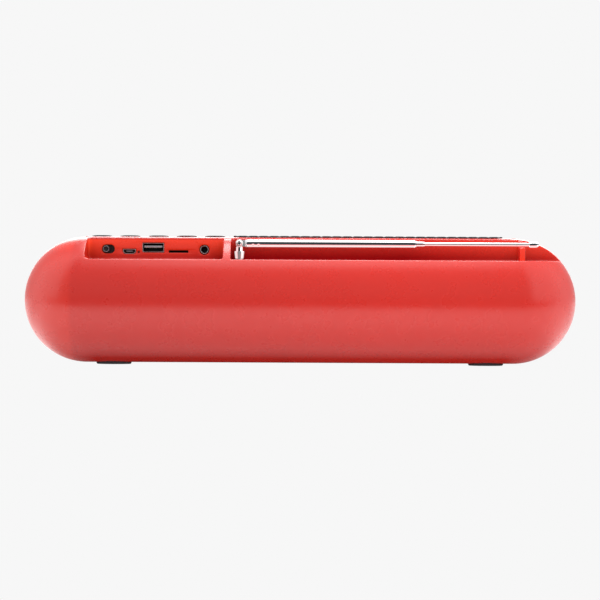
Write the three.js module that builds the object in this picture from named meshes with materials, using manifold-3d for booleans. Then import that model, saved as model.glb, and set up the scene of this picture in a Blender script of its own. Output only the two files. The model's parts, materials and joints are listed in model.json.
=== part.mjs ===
// A pill-shaped portable radio speaker as an assembly of separate pieces, in millimetres, +Z up.
// The origin is the centre of the capsule. X runs along it, the sockets and the telescopic
// antenna face -Y, and the loudspeakers behind their grille face +Y.

import * as THREE from 'three';
import { mergeVertices } from 'three/addons/utils/BufferGeometryUtils.js';
import ManifoldModule from 'manifold-3d';

const wasm = await ManifoldModule();
wasm.setup();

// ---------------------------------------------------------------- driving dimensions

const GAP = 0.3; // clearance between neighbouring pieces

// Casing
const RADIUS = 38.3; // outer radius of the capsule
const HALF_STRAIGHT = 130.35; // centre to the start of each round end
const WALL = 2.2;
const MOUTH_Y = 20; // plane where the rear shell ends
const BEZEL_FRONT_Y = 27.3;
const BEZEL_HALF_HEIGHT = 24; // of the straight hole through the bezel
const GRILLE_RADIUS = 38.3;
const GRILLE_THICKNESS = 0.8;
const FAR = 400; // reach of cutting shapes that run past the casing

// Two notches in the upper rear of the shell share one upright wall and one floor.
const NOTCH_WALL_Y = -8;
const NOTCH_FLOOR_Z = 24.3;
const PORT_RECESS_X = [-129.5, -46.5];
const CHANNEL_START_X = -42; // the antenna channel runs out through the right end
const NOTCH_CORNER = 2.4;

// Strip along the top, and the opening under it
const STRIP_HALF_LENGTH = 132.5;
const STRIP_Y = [-6.8, 13];
const STRIP_RADIUS = 38.75; // its crown follows the capsule
const STRIP_THICKNESS = 0.35;
const OPENING_X = 129.5;
const OPENING_Y = [-4.5, 11];
const STRIP_CENTRE_Y = (STRIP_Y[0] + STRIP_Y[1]) / 2;

// Buttons, as flanged domes seen from above as ellipses
const BUTTON_NAMES = ['mode_button', 'previous_button', 'play_button', 'next_button', 'repeat_button'];
const BUTTON_FIRST_X = -121.9;
const BUTTON_PITCH = 17.35;
const BUTTON_LENGTH = 12.5;
const BUTTON_DEPTH = 8.4;
const BUTTON_TOP_Z = 39.5;
const BUTTON_BOTTOM_Z = 36.6;
const BUTTON_TRAVEL = 0.5;

// Rubber phone rest let into the strip
const REST_X = [-41.2, 124.4];
const REST_WIDTH = 14.6;
const REST_RADIUS = 39.5;
const REST_FLOOR_Z = 29.8;
const GROOVE_WIDTH = 9;
const GROOVE_FLOOR_Z = 31.2;

// Feet
const FOOT_X = 114;
const FOOT_LENGTH = 21.7;
const FOOT_WIDTH = 14;
const FOOT_BOTTOM_Z = -39.5;

// Antenna: a swivel post on the channel floor carries a tilting telescopic rod.
const PIVOT = new THREE.Vector3(-37, -13, 34.5);
const POST_RADIUS = 2.2;
const POST_DEPTH = 5.6;
const FORK_SLOT = 2.2;
const TONGUE_THICKNESS = 1.6;
const HINGE_HOLE = 1.1;
const TUBES = [
  { name: 'antenna_tube_1', x: [-32.4, 69.5], outer: 2.225, inner: 2.0 },
  { name: 'antenna_tube_2', x: [-29.3, 70.4], outer: 1.85, inner: 1.55 },
  { name: 'antenna_tube_3', x: [-26.3, 75.4], outer: 1.35, inner: 1.15 },
];
const ROD = { x: [39.2, 140.3], radius: 1.0 };
const TIP = { x: [139, 144.7], radius: 1.9 };
const CLIP_X = [132.4, 135.6];
const CLIP_FRONT_Y = -21.5;
const CLIP_POST_TOP = 32.5; // under the rod, and under the second tube when it is drawn out
const CLIP_NUB_Y = -10.6; // between the rod and the wall
const CLIP_NUB_TOP = 36.3;

// Sockets, by the centre of each one in the notch wall
const SWITCH_AT = { x: -117.1, z: 30.8, length: 7.9, height: 5.5, knob: 4.5, travel: 2.6 };
const MICRO_AT = { x: -104.3, z: 29.4, width: 8.5, height: 3.4 };
const LED_AT = { x: -98.6, z: 29, hole: 0.65 };
const USB_AT = { x: -89.7, z: 31.75, width: 13.5, height: 6.2 };
const CARD_AT = { x: -74.3, z: 29.4, width: 12, height: 1.55 };
const AUX_AT = { x: -58.5, z: 30.6, hole: 3.1 };

// Circuit boards
const MAIN_BOARD = { x: [-128, -45], y: [-4.2, 15], z: [26, 27.6] };
const KEY_BOARD = { x: [-127.6, -45], y: [-4.1, 10.6], z: [34.75, 35.4] };

// Loudspeakers, passive radiator and the baffle that carries them
const BAFFLE = { y: [17, 20], halfHeight: 29 };
const DRIVER_X = 95;
const DRIVER_FRONT_Y = BAFFLE.y[0] - GAP;
const DRIVER_HOLE = 22;
const RADIATOR = { halfStraight: 14, radius: 13, holeRadius: 18 };
const SCREWS = [
  { name: 'baffle_screw_1', x: -40, z: 25.5 },
  { name: 'baffle_screw_2', x: 60, z: 25.5 },
  { name: 'baffle_screw_3', x: -60, z: -25.5 },
  { name: 'baffle_screw_4', x: 60, z: -25.5 },
];
const BOSS_RADIUS = 3.5;
const SCREW_HOLE = 1.35;

// Battery
const CELL = { radius: 9.2, length: 65, y: -18, z: [-14, 5.5] };

// ---------------------------------------------------------------- solids

// Gives a closed, indexed mesh of positions only, without collapsed faces, and facing out.
function closed(geometry) {
  const bare = geometry.clone();
  bare.deleteAttribute('normal');
  bare.deleteAttribute('uv');
  const merged = mergeVertices(bare, 1e-4);
  const corners = merged.index.array;
  const position = merged.getAttribute('position');
  const faces = [];
  const [a, b, c] = [new THREE.Vector3(), new THREE.Vector3(), new THREE.Vector3()];
  let volume = 0;
  for (let i = 0; i < corners.length; i += 3) {
    const [p, q, r] = [corners[i], corners[i + 1], corners[i + 2]];
    if (p === q || q === r || r === p) continue;
    faces.push([p, q, r]);
    a.fromBufferAttribute(position, p);
    b.fromBufferAttribute(position, q);
    c.fromBufferAttribute(position, r);
    volume += a.dot(b.cross(c)) / 6;
  }
  const outward = volume < 0 ? faces.map(([p, q, r]) => [p, r, q]) : faces;
  merged.setIndex(outward.flat());
  return merged;
}

function toManifold(geometry) {
  const mesh = closed(geometry);
  return new wasm.Manifold(new wasm.Mesh({
    numProp: 3,
    vertProperties: new Float32Array(mesh.getAttribute('position').array),
    triVerts: new Uint32Array(mesh.index.array),
  }));
}

function toGeometry(manifold) {
  const mesh = manifold.getMesh();
  const geometry = new THREE.BufferGeometry();
  geometry.setAttribute('position', new THREE.BufferAttribute(mesh.vertProperties, 3));
  geometry.setIndex(new THREE.BufferAttribute(mesh.triVerts, 1));
  return geometry;
}

function join(...geometries) {
  return toGeometry(geometries.map(toManifold).reduce((sum, next) => sum.add(next)));
}

function cut(base, ...tools) {
  return toGeometry(tools.map(toManifold).reduce((rest, tool) => rest.subtract(tool), toManifold(base)));
}

function common(first, second) {
  return toGeometry(toManifold(first).intersect(toManifold(second)));
}

// A box from its ranges along the three axes.
function block([x0, x1], [y0, y1], [z0, z1]) {
  const box = new THREE.BoxGeometry(x1 - x0, y1 - y0, z1 - z0);
  return box.translate((x0 + x1) / 2, (y0 + y1) / 2, (z0 + z1) / 2);
}

// The casing's capsule, along X, at any radius.
function capsule(radius) {
  const geometry = new THREE.CapsuleGeometry(radius, 2 * HALF_STRAIGHT, 7, 40);
  return geometry.rotateZ(Math.PI / 2);
}

// An outline in X and Z, extruded along Y.
function alongY(shape, [y0, y1], curveSegments = 6) {
  const options = { depth: y1 - y0, bevelEnabled: false, curveSegments };
  return new THREE.ExtrudeGeometry(shape, options).rotateX(Math.PI / 2).translate(0, y1, 0);
}

// An outline in X and Y, extruded along Z.
function alongZ(shape, [z0, z1], curveSegments = 6) {
  const options = { depth: z1 - z0, bevelEnabled: false, curveSegments };
  return new THREE.ExtrudeGeometry(shape, options).translate(0, 0, z0);
}

// A profile of [radius, height] points turned about an axis through a point.
function turned(profile, axis, [x, y, z] = [0, 0, 0], segments = 20) {
  const points = profile.map(([radius, height]) => new THREE.Vector2(radius, height));
  const geometry = new THREE.LatheGeometry(points, segments);
  if (axis === 'x') geometry.rotateZ(-Math.PI / 2);
  if (axis === 'z') geometry.rotateX(Math.PI / 2);
  return geometry.translate(x, y, z);
}

function cylinder(axis, radius, [from, to], centre, segments = 20) {
  return turned([[0, from], [radius, from], [radius, to], [0, to]], axis, centre, segments);
}

function tube(axis, outer, inner, [from, to], centre, segments = 20) {
  const ring = [[inner, from], [outer, from], [outer, to], [inner, to], [inner, from]];
  return turned(ring, axis, centre, segments);
}

// A pill outline: a straight part of 2 * halfStraight between two half circles.
function pill(centreX, centreY, halfStraight, radius) {
  const shape = new THREE.Shape();
  shape.absarc(centreX + halfStraight, centreY, radius, -Math.PI / 2, Math.PI / 2);
  shape.absarc(centreX - halfStraight, centreY, radius, Math.PI / 2, 3 * Math.PI / 2);
  shape.closePath();
  return shape;
}

function pillBetween([x0, x1], [y0, y1]) {
  const radius = (y1 - y0) / 2;
  return pill((x0 + x1) / 2, (y0 + y1) / 2, (x1 - x0) / 2 - radius, radius);
}

function ellipse(centreX, centreY, halfLength, halfDepth) {
  const shape = new THREE.Shape();
  shape.absellipse(centreX, centreY, halfLength, halfDepth, 0, 2 * Math.PI);
  return shape;
}

function circle(x, y, radius) {
  return ellipse(x, y, radius, radius);
}

function rectangle(centreX, centreY, width, height) {
  const shape = new THREE.Shape();
  shape.moveTo(centreX - width / 2, centreY - height / 2);
  shape.lineTo(centreX + width / 2, centreY - height / 2);
  shape.lineTo(centreX + width / 2, centreY + height / 2);
  shape.lineTo(centreX - width / 2, centreY + height / 2);
  shape.closePath();
  return shape;
}

// Micro-USB outline: the wide side is up, and the lower corners are cut off.
function microOutline({ x, z }, width, height) {
  const shape = new THREE.Shape();
  shape.moveTo(x - width * 0.36, z - height / 2);
  shape.lineTo(x + width * 0.36, z - height / 2);
  shape.lineTo(x + width / 2, z - height * 0.05);
  shape.lineTo(x + width / 2, z + height / 2);
  shape.lineTo(x - width / 2, z + height / 2);
  shape.lineTo(x - width / 2, z - height * 0.05);
  shape.closePath();
  return shape;
}

// A round wire through a few points.
function wire(points, radius = 0.6) {
  const path = new THREE.CatmullRomCurve3(points.map((point) => new THREE.Vector3(...point)));
  const options = { steps: 14, bevelEnabled: false, extrudePath: path, curveSegments: 2 };
  return new THREE.ExtrudeGeometry(circle(0, 0, radius), options);
}

// ---------------------------------------------------------------- casing

// The space of a notch, or of the walls around it when it is grown by a margin.
function notch([x0, x1], margin) {
  const corner = NOTCH_CORNER;
  const floor = NOTCH_FLOOR_Z - margin;
  const shape = new THREE.Shape();
  shape.moveTo(x0 - margin, RADIUS + 10);
  shape.lineTo(x0 - margin, floor + corner);
  shape.absarc(x0 - margin + corner, floor + corner, corner, Math.PI, 1.5 * Math.PI);
  shape.absarc(x1 + margin - corner, floor + corner, corner, 1.5 * Math.PI, 2 * Math.PI);
  shape.lineTo(x1 + margin, RADIUS + 10);
  shape.closePath();
  return alongY(shape, [-RADIUS - 10, NOTCH_WALL_Y + margin], 3);
}

function portHoles() {
  const depth = [NOTCH_WALL_Y - 1, NOTCH_WALL_Y + WALL + 1];
  const switchSpan = [SWITCH_AT.x - SWITCH_AT.length / 2, SWITCH_AT.x + SWITCH_AT.length / 2];
  const switchRise = [SWITCH_AT.z - SWITCH_AT.height / 2, SWITCH_AT.z + SWITCH_AT.height / 2];
  return [
    alongY(pillBetween(switchSpan, switchRise), depth),
    alongY(microOutline(MICRO_AT, MICRO_AT.width, MICRO_AT.height), depth),
    cylinder('y', LED_AT.hole, depth, [LED_AT.x, 0, LED_AT.z], 12),
    alongY(rectangle(USB_AT.x, USB_AT.z, USB_AT.width, USB_AT.height), depth),
    alongY(rectangle(CARD_AT.x, CARD_AT.z, CARD_AT.width, CARD_AT.height), depth),
    cylinder('y', AUX_AT.hole, depth, [AUX_AT.x, 0, AUX_AT.z]),
  ];
}

// Upright rib that the antenna rests in: a low post under the rod and a nub behind it.
function antennaClip() {
  const foot = NOTCH_FLOOR_Z - 0.5;
  const wall = NOTCH_WALL_Y + 0.5;
  return join(
    block(CLIP_X, [CLIP_FRONT_Y, wall], [foot, CLIP_POST_TOP]),
    block(CLIP_X, [CLIP_NUB_Y, wall], [foot, CLIP_NUB_TOP]),
  );
}

// Screw pillars from the rear of the shell to the baffle.
function bosses() {
  const end = BAFFLE.y[0] - GAP;
  const pillars = SCREWS.map(({ x, z }) => cylinder(
    'y', BOSS_RADIUS, [z > 0 ? NOTCH_WALL_Y + 1 : -RADIUS, end], [x, 0, z], 16,
  ));
  return common(join(...pillars), capsule(RADIUS - WALL / 2));
}

function rearShell() {
  const channel = [CHANNEL_START_X, FAR];
  const outside = cut(
    capsule(RADIUS),
    block([-FAR, FAR], [MOUTH_Y, FAR], [-FAR, FAR]),
    notch(PORT_RECESS_X, 0),
    notch(channel, 0),
  );
  const cavity = cut(capsule(RADIUS - WALL), notch([PORT_RECESS_X[0], FAR], WALL));
  const hollow = cut(outside, cavity);
  const openings = [
    block([-OPENING_X, OPENING_X], OPENING_Y, [RADIUS / 2, FAR]),
    cylinder('z', 2.1, [0, RADIUS], [PIVOT.x, PIVOT.y, 0]),
    ...portHoles(),
  ];
  const pilotHoles = SCREWS.map(({ x, z }) => cylinder('y', SCREW_HOLE, [6, MOUTH_Y], [x, 0, z], 10));
  return cut(join(cut(hollow, ...openings), bosses(), antennaClip()), ...pilotHoles);
}

function frontBezel() {
  const slice = block([-FAR, FAR], [MOUTH_Y + GAP, BEZEL_FRONT_Y], [-FAR, FAR]);
  const hole = pill(0, 0, HALF_STRAIGHT, BEZEL_HALF_HEIGHT);
  return cut(common(capsule(RADIUS), slice), alongY(hole, [MOUTH_Y - 1, BEZEL_FRONT_Y + 1], 12));
}

function frontGrille() {
  const sheet = cut(capsule(GRILLE_RADIUS), capsule(GRILLE_RADIUS - GRILLE_THICKNESS));
  return common(sheet, block([-FAR, FAR], [BEZEL_FRONT_Y + GAP, FAR], [-FAR, FAR]));
}

// Domed rubber foot, oval in plan, flat underneath, its top fitted to the round casing.
function foot(side) {
  const half = FOOT_WIDTH / 2;
  const profile = [
    [0, FOOT_BOTTOM_Z], [half - 1.4, FOOT_BOTTOM_Z], [half - 0.5, FOOT_BOTTOM_Z + 0.35],
    [half, FOOT_BOTTOM_Z + 1.1], [half, FOOT_BOTTOM_Z + 4], [0, FOOT_BOTTOM_Z + 4],
  ];
  const pad = turned(profile, 'z', [0, 0, 0], 24).scale(FOOT_LENGTH / FOOT_WIDTH, 1, 1);
  return cut(pad.translate(side * FOOT_X, 0, 0), capsule(RADIUS + 0.2));
}

// ---------------------------------------------------------------- top strip and keys

function buttonX(index) {
  return BUTTON_FIRST_X + index * BUTTON_PITCH;
}

function controlPanel() {
  const sheet = cut(capsule(STRIP_RADIUS), capsule(STRIP_RADIUS - STRIP_THICKNESS));
  const outline = pillBetween([-STRIP_HALF_LENGTH, STRIP_HALF_LENGTH], STRIP_Y);
  const holes = BUTTON_NAMES.map((name, index) => alongZ(
    ellipse(buttonX(index), STRIP_CENTRE_Y, BUTTON_LENGTH / 2 + GAP, BUTTON_DEPTH / 2 + GAP), [30, FAR],
  ));
  const restHole = alongZ(restOutline(GAP), [30, FAR]);
  return cut(common(sheet, alongZ(outline, [30, FAR])), ...holes, restHole);
}

function button(index) {
  const half = BUTTON_DEPTH / 2;
  const profile = [
    [0, BUTTON_BOTTOM_Z], [half + 0.7, BUTTON_BOTTOM_Z], [half + 0.7, BUTTON_BOTTOM_Z + 0.6],
    [half, BUTTON_BOTTOM_Z + 0.6], [half, BUTTON_TOP_Z - 0.75], [half * 0.93, BUTTON_TOP_Z - 0.4],
    [half * 0.75, BUTTON_TOP_Z - 0.17], [half * 0.4, BUTTON_TOP_Z - 0.03], [0, BUTTON_TOP_Z],
  ];
  const dome = turned(profile, 'z', [0, 0, 0], 20).scale(BUTTON_LENGTH / BUTTON_DEPTH, 1, 1);
  return dome.translate(buttonX(index), STRIP_CENTRE_Y, 0);
}

// Thin snap dome under each button, clear of the button even when it is fully pressed.
function keyDome(index) {
  const base = KEY_BOARD.z[1] + 0.02;
  const top = BUTTON_BOTTOM_Z - BUTTON_TRAVEL - 0.1;
  const profile = [[0, base], [2.4, base], [2.2, base + 0.2], [1.2, top], [0, top]];
  return turned(profile, 'z', [buttonX(index), STRIP_CENTRE_Y, 0], 10);
}

function restOutline(margin) {
  const half = REST_WIDTH / 2 + margin;
  return pillBetween(
    [REST_X[0] - margin, REST_X[1] + margin],
    [STRIP_CENTRE_Y - half, STRIP_CENTRE_Y + half],
  );
}

function restPill(inset, halfWidth) {
  return pillBetween(
    [REST_X[0] + inset, REST_X[1] - inset],
    [STRIP_CENTRE_Y - halfWidth, STRIP_CENTRE_Y + halfWidth],
  );
}

// Rubber insert with a trough that holds the edge of a phone.
function phoneRest() {
  const lip = common(alongZ(restOutline(0), [36.2, FAR]), capsule(REST_RADIUS));
  const trough = alongZ(restPill(5, GROOVE_WIDTH / 2 + 1.6), [REST_FLOOR_Z, 37]);
  const groove = alongZ(restPill(7.5, GROOVE_WIDTH / 2), [GROOVE_FLOOR_Z, FAR]);
  return cut(join(lip, trough), groove);
}

// ---------------------------------------------------------------- antenna

// Fixed collar and pin that the antenna post turns on, with its shank through the floor.
function antennaStud() {
  const base = NOTCH_FLOOR_Z + 0.2;
  const profile = [
    [0, 16.8], [1.75, 16.8], [1.75, base], [2.45, base], [2.45, base + 0.4],
    [1.45, base + 0.4], [1.45, 28], [0, 28],
  ];
  return turned(profile, 'z', [PIVOT.x, PIVOT.y, 0]);
}

function antennaNut() {
  const centre = [PIVOT.x, PIVOT.y, 0];
  return cut(cylinder('z', 3.6, [18.2, 20.6], centre, 6), cylinder('z', 2, [0, RADIUS], centre, 20));
}

function antennaLug() {
  const z = [NOTCH_FLOOR_Z - WALL - 0.9, NOTCH_FLOOR_Z - WALL - GAP];
  const ring = cylinder('z', 3.4, z, [PIVOT.x, PIVOT.y, 0], 20);
  const tab = block([PIVOT.x - 7, PIVOT.x - 2], [PIVOT.y - 1.2, PIVOT.y + 1.2], z);
  return cut(join(ring, tab), cylinder('z', 2, [0, RADIUS], [PIVOT.x, PIVOT.y, 0], 20));
}

// Turning post: a tapered ferrule below and a two-cheeked fork above.
function antennaSwivel() {
  const foot = NOTCH_FLOOR_Z + 0.9;
  const ferrule = turned([
    [0, 28.4], [1.75, 28.4], [1.75, foot], [2.5, foot], [3, 29.2], [2.9, 29.7], [0, 29.7],
  ], 'z', [PIVOT.x, PIVOT.y, 0]);
  const cheeks = [PIVOT.y - POST_DEPTH / 2, PIVOT.y + POST_DEPTH / 2];
  const post = block([PIVOT.x - POST_RADIUS, PIVOT.x + POST_RADIUS], cheeks, [29.6, PIVOT.z]);
  const head = cylinder('y', POST_RADIUS, cheeks, [PIVOT.x, 0, PIVOT.z]);
  const slotY = [PIVOT.y - FORK_SLOT / 2, PIVOT.y + FORK_SLOT / 2];
  const slot = block([PIVOT.x - 5, PIVOT.x + 5], slotY, [31.2, 40]);
  const bore = cylinder('y', HINGE_HOLE, [-FAR, 0], [PIVOT.x, 0, PIVOT.z], 16);
  return cut(join(ferrule, post, head), slot, bore);
}

function hingeScrew() {
  const face = PIVOT.y - POST_DEPTH / 2 - GAP;
  const shank = cylinder('y', HINGE_HOLE - 0.3, [face - 0.4, PIVOT.y + 2.5], [PIVOT.x, 0, PIVOT.z], 16);
  const head = turned([
    [0, face - 1], [1.2, face - 0.9], [1.75, face - 0.45], [1.75, face], [0, face],
  ], 'y', [PIVOT.x, 0, PIVOT.z]);
  const slots = [[3, 0.5], [0.5, 3]].map(([width, height]) => block(
    [PIVOT.x - width / 2, PIVOT.x + width / 2],
    [face - 2, face - 0.6],
    [PIVOT.z - height / 2, PIVOT.z + height / 2],
  ));
  return cut(join(shank, head), ...slots);
}

// Flat tongue between the cheeks, then a round end that plugs the first tube.
function antennaKnuckle() {
  const tongueY = [PIVOT.y - TONGUE_THICKNESS / 2, PIVOT.y + TONGUE_THICKNESS / 2];
  const centre = [0, PIVOT.y, PIVOT.z];
  const start = PIVOT.x + 2.8;
  const eye = cylinder('y', 2, tongueY, [PIVOT.x, 0, PIVOT.z]);
  const tongue = block([PIVOT.x, PIVOT.x + 3.2], tongueY, [PIVOT.z - 2, PIVOT.z + 2]);
  const fitting = turned([
    [0, start], [1.9, start], [2.225, start + 0.3], [2.225, start + 1.5], [1.7, start + 1.5],
    [1.7, start + 3.7], [0, start + 3.7],
  ], 'x', centre);
  const bore = cylinder('y', HINGE_HOLE, [-FAR, 0], [PIVOT.x, 0, PIVOT.z], 16);
  return cut(join(eye, tongue, fitting), bore);
}

function antennaTube({ x, outer, inner }) {
  return tube('x', outer, inner, x, [0, PIVOT.y, PIVOT.z], 18);
}

function antennaRod() {
  return cylinder('x', ROD.radius, ROD.x, [0, PIVOT.y, PIVOT.z], 16);
}

function antennaTip() {
  const [start, end] = TIP.x;
  const round = TIP.radius;
  return turned([
    [0, ROD.x[1] + 0.4], [1.25, ROD.x[1] + 0.4], [1.25, start], [round, start], [round, end - 1.4],
    [round * 0.86, end - 0.6], [round * 0.5, end - 0.12], [0, end],
  ], 'x', [0, PIVOT.y, PIVOT.z], 20);
}

// ---------------------------------------------------------------- sockets and boards

// Round knob on a shutter plate that keeps the opening covered at both ends of its travel.
function powerSlider() {
  const inner = NOTCH_WALL_Y + WALL + GAP;
  const radius = SWITCH_AT.knob / 2;
  const left = SWITCH_AT.x - SWITCH_AT.travel / 2;
  const front = NOTCH_WALL_Y - 1.2;
  const knob = turned([
    [0, front], [radius - 0.5, front], [radius, front + 0.5], [radius, inner + 0.2], [0, inner + 0.2],
  ], 'y', [left, 0, SWITCH_AT.z]);
  const plate = block([left - 5.4, left + 5.9], [inner, inner + 0.8], [SWITCH_AT.z - 3.4, SWITCH_AT.z + 3.4]);
  return join(knob, plate);
}

function powerSwitchBody() {
  const y = [NOTCH_WALL_Y + WALL + 1.4, 0.6];
  return block([SWITCH_AT.x - 5, SWITCH_AT.x + 5], y, [MAIN_BOARD.z[1] + GAP, SWITCH_AT.z + 2.6]);
}

function microUsbSocket() {
  const shell = alongY(microOutline(MICRO_AT, 7.7, 2.8), [-7.7, -2.4]);
  return cut(shell, alongY(microOutline(MICRO_AT, 7, 2.1), [-9, -2.8]));
}

function microUsbTongue() {
  return block([MICRO_AT.x - 1.9, MICRO_AT.x + 1.9], [-7.2, -3.1], [MICRO_AT.z + 0.05, MICRO_AT.z + 0.65]);
}

function usbSocket() {
  const shell = alongY(rectangle(USB_AT.x, USB_AT.z, 13, 5.6), [-7.8, 6]);
  return cut(shell, alongY(rectangle(USB_AT.x, USB_AT.z, 12.4, 5), [-9, 5.6]));
}

function usbTongue() {
  return block([USB_AT.x - 5.5, USB_AT.x + 5.5], [-7.2, 5.3], [USB_AT.z + 0.2, USB_AT.z + 2]);
}

function cardSocket() {
  const y = [NOTCH_WALL_Y + WALL + GAP, 9];
  const shell = block([CARD_AT.x - 7, CARD_AT.x + 7], y, [MAIN_BOARD.z[1] + GAP, CARD_AT.z + 1]);
  return cut(shell, block([CARD_AT.x - 5.7, CARD_AT.x + 5.7], [-9, 8], [CARD_AT.z - 0.45, CARD_AT.z + 0.45]));
}

function auxJackBody() {
  const y = [NOTCH_WALL_Y + WALL + GAP, 6.5];
  const body = block([AUX_AT.x - 3, AUX_AT.x + 3], y, [MAIN_BOARD.z[1] + GAP, AUX_AT.z + 2.8]);
  return cut(body, cylinder('y', 1.8, [-9, 5.5], [AUX_AT.x, 0, AUX_AT.z]));
}

function auxJackFerrule() {
  const y = [NOTCH_WALL_Y + 0.1, NOTCH_WALL_Y + WALL];
  return tube('y', AUX_AT.hole - 0.25, 1.85, y, [AUX_AT.x, 0, AUX_AT.z]);
}

function statusLed() {
  const inner = NOTCH_WALL_Y + WALL + GAP;
  const pipe = cylinder('y', LED_AT.hole - 0.2, [NOTCH_WALL_Y + 0.1, inner + 0.5], [LED_AT.x, 0, LED_AT.z], 12);
  const body = block([LED_AT.x - 0.8, LED_AT.x + 0.8], [inner, inner + 1.6], [MAIN_BOARD.z[1] + GAP, LED_AT.z + 0.7]);
  return join(pipe, body);
}

// ---------------------------------------------------------------- loudspeakers and battery

function baffle() {
  const plate = alongY(pill(0, 0, HALF_STRAIGHT, BAFFLE.halfHeight), BAFFLE.y, 12);
  const through = [BAFFLE.y[0] - 1, BAFFLE.y[1] + 1];
  const driverHoles = [-DRIVER_X, DRIVER_X].map((x) => alongY(circle(x, 0, DRIVER_HOLE), through, 12));
  const radiatorHole = alongY(pill(0, 0, RADIATOR.halfStraight, RADIATOR.holeRadius), through);
  const screwHoles = SCREWS.flatMap(({ x, z }) => [
    cylinder('y', SCREW_HOLE, through, [x, 0, z], 12),
    cylinder('y', 3, [BAFFLE.y[1] - 1.8, BAFFLE.y[1] + 1], [x, 0, z], 16),
  ]);
  return cut(plate, ...driverHoles, radiatorHole, ...screwHoles);
}

function baffleScrew({ x, z }) {
  const face = BAFFLE.y[1];
  return turned([
    [0, 8], [1.05, 8], [1.05, face - 1.5], [2.7, face - 1.5], [2.6, face - 0.5], [1.9, face - 0.1],
    [0.8, face - 0.1], [0.8, face - 0.8], [0, face - 0.8],
  ], 'y', [x, 0, z], 16);
}

function driverFrame(side) {
  const front = DRIVER_FRONT_Y;
  return turned([
    [7, -1], [15.4, -1], [23.3, 14], [25, 14], [25, front], [22.4, front], [22.4, 14],
    [14.5, 0.6], [7, 0.6], [7, -1],
  ], 'y', [side * DRIVER_X, 0, 0], 24);
}

function driverMagnet(side) {
  return turned([
    [0, -10.5], [14.5, -10.5], [15.5, -9.5], [15.5, -1.3], [0, -1.3],
  ], 'y', [side * DRIVER_X, 0, 0], 24);
}

function driverCone(side) {
  return turned([
    [0, 6.2], [7.2, 4.4], [20.2, 14.2], [20.2, 15.4], [7.5, 6], [4.2, 7.6], [0, 8.2],
  ], 'y', [side * DRIVER_X, 0, 0], 24);
}

// Rubber roll that holds the passive radiator plate in the baffle.
function radiatorSurround() {
  const y = [BAFFLE.y[0] + 0.6, BAFFLE.y[1] - 0.6];
  const outer = alongY(pill(0, 0, RADIATOR.halfStraight, RADIATOR.holeRadius - GAP), y);
  const inner = pill(0, 0, RADIATOR.halfStraight, RADIATOR.radius + GAP);
  return cut(outer, alongY(inner, [y[0] - 1, y[1] + 1]));
}

function radiatorPlate() {
  return alongY(pill(0, 0, RADIATOR.halfStraight, RADIATOR.radius), [BAFFLE.y[0] + 0.4, BAFFLE.y[1] - 0.8]);
}

function batteryCell(z) {
  const half = CELL.length / 2;
  return turned([
    [0, -half], [CELL.radius - 0.5, -half], [CELL.radius, -half + 0.5], [CELL.radius, half - 2],
    [CELL.radius - 0.6, half - 1.3], [3, half - 1.3], [3, half], [0, half],
  ], 'x', [0, CELL.y, z]);
}

function batteryHolder() {
  const half = CELL.length / 2 + 0.6;
  const z = [CELL.z[0] - 8, CELL.z[1] + 8];
  const front = CELL.y + CELL.radius;
  const plate = block([-half - 1.6, half + 1.6], [front + 0.8, front + 2.4], z);
  const ends = [-1, 1].map((side) => block(
    [Math.min(side * half, side * (half + 1.6)), Math.max(side * half, side * (half + 1.6))],
    [CELL.y - 6, front + 1.2],
    z,
  ));
  return join(plate, ...ends);
}

// ---------------------------------------------------------------- assembly

const speaker = new THREE.Group();

function finish(color, roughness, metalness = 0) {
  return new THREE.MeshStandardMaterial({ color, roughness, metalness });
}

const redShell = () => finish(0xd8332b, 0.42);
const darkPlastic = () => finish(0x4b4346, 0.45);
const blackPlastic = () => finish(0x1b1a1b, 0.5);
const darkRubber = () => finish(0x3a3436, 0.7);
const chrome = () => finish(0xd9dadc, 0.12, 1);
const steel = () => finish(0xa9abad, 0.35, 1);
const board = () => finish(0x1f5a34, 0.55);

function add(name, geometry, material) {
  const mesh = new THREE.Mesh(closed(geometry), material);
  mesh.name = name;
  speaker.add(mesh);
}

add('rear_shell', rearShell(), redShell());
add('front_bezel', frontBezel(), redShell());
add('front_grille', frontGrille(), finish(0x161617, 0.45, 0.8));
add('front_baffle', baffle(), blackPlastic());
add('foot_left', foot(-1), darkRubber());
add('foot_right', foot(1), darkRubber());

add('control_panel', controlPanel(), redShell());
BUTTON_NAMES.forEach((name, index) => add(name, button(index), darkPlastic()));
BUTTON_NAMES.forEach((name, index) => add(`key_dome_${index + 1}`, keyDome(index), steel()));
add('key_board', block(KEY_BOARD.x, KEY_BOARD.y, KEY_BOARD.z), board());
add('phone_rest', phoneRest(), darkRubber());

add('antenna_stud', antennaStud(), steel());
add('antenna_nut', antennaNut(), steel());
add('antenna_lug', antennaLug(), steel());
add('antenna_swivel', antennaSwivel(), chrome());
add('antenna_hinge_screw', hingeScrew(), chrome());
add('antenna_knuckle', antennaKnuckle(), chrome());
TUBES.forEach((section) => add(section.name, antennaTube(section), chrome()));
add('antenna_rod', antennaRod(), chrome());
add('antenna_tip', antennaTip(), chrome());

add('power_slider', powerSlider(), blackPlastic());
add('power_switch_body', powerSwitchBody(), steel());
add('micro_usb_socket', microUsbSocket(), steel());
add('micro_usb_tongue', microUsbTongue(), blackPlastic());
add('usb_socket', usbSocket(), steel());
add('usb_tongue', usbTongue(), blackPlastic());
add('card_socket', cardSocket(), steel());
add('aux_jack_body', auxJackBody(), blackPlastic());
add('aux_jack_ferrule', auxJackFerrule(), steel());
add('status_led', statusLed(), finish(0xf2d9d6, 0.3));
add('main_board', block(MAIN_BOARD.x, MAIN_BOARD.y, MAIN_BOARD.z), board());

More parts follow.
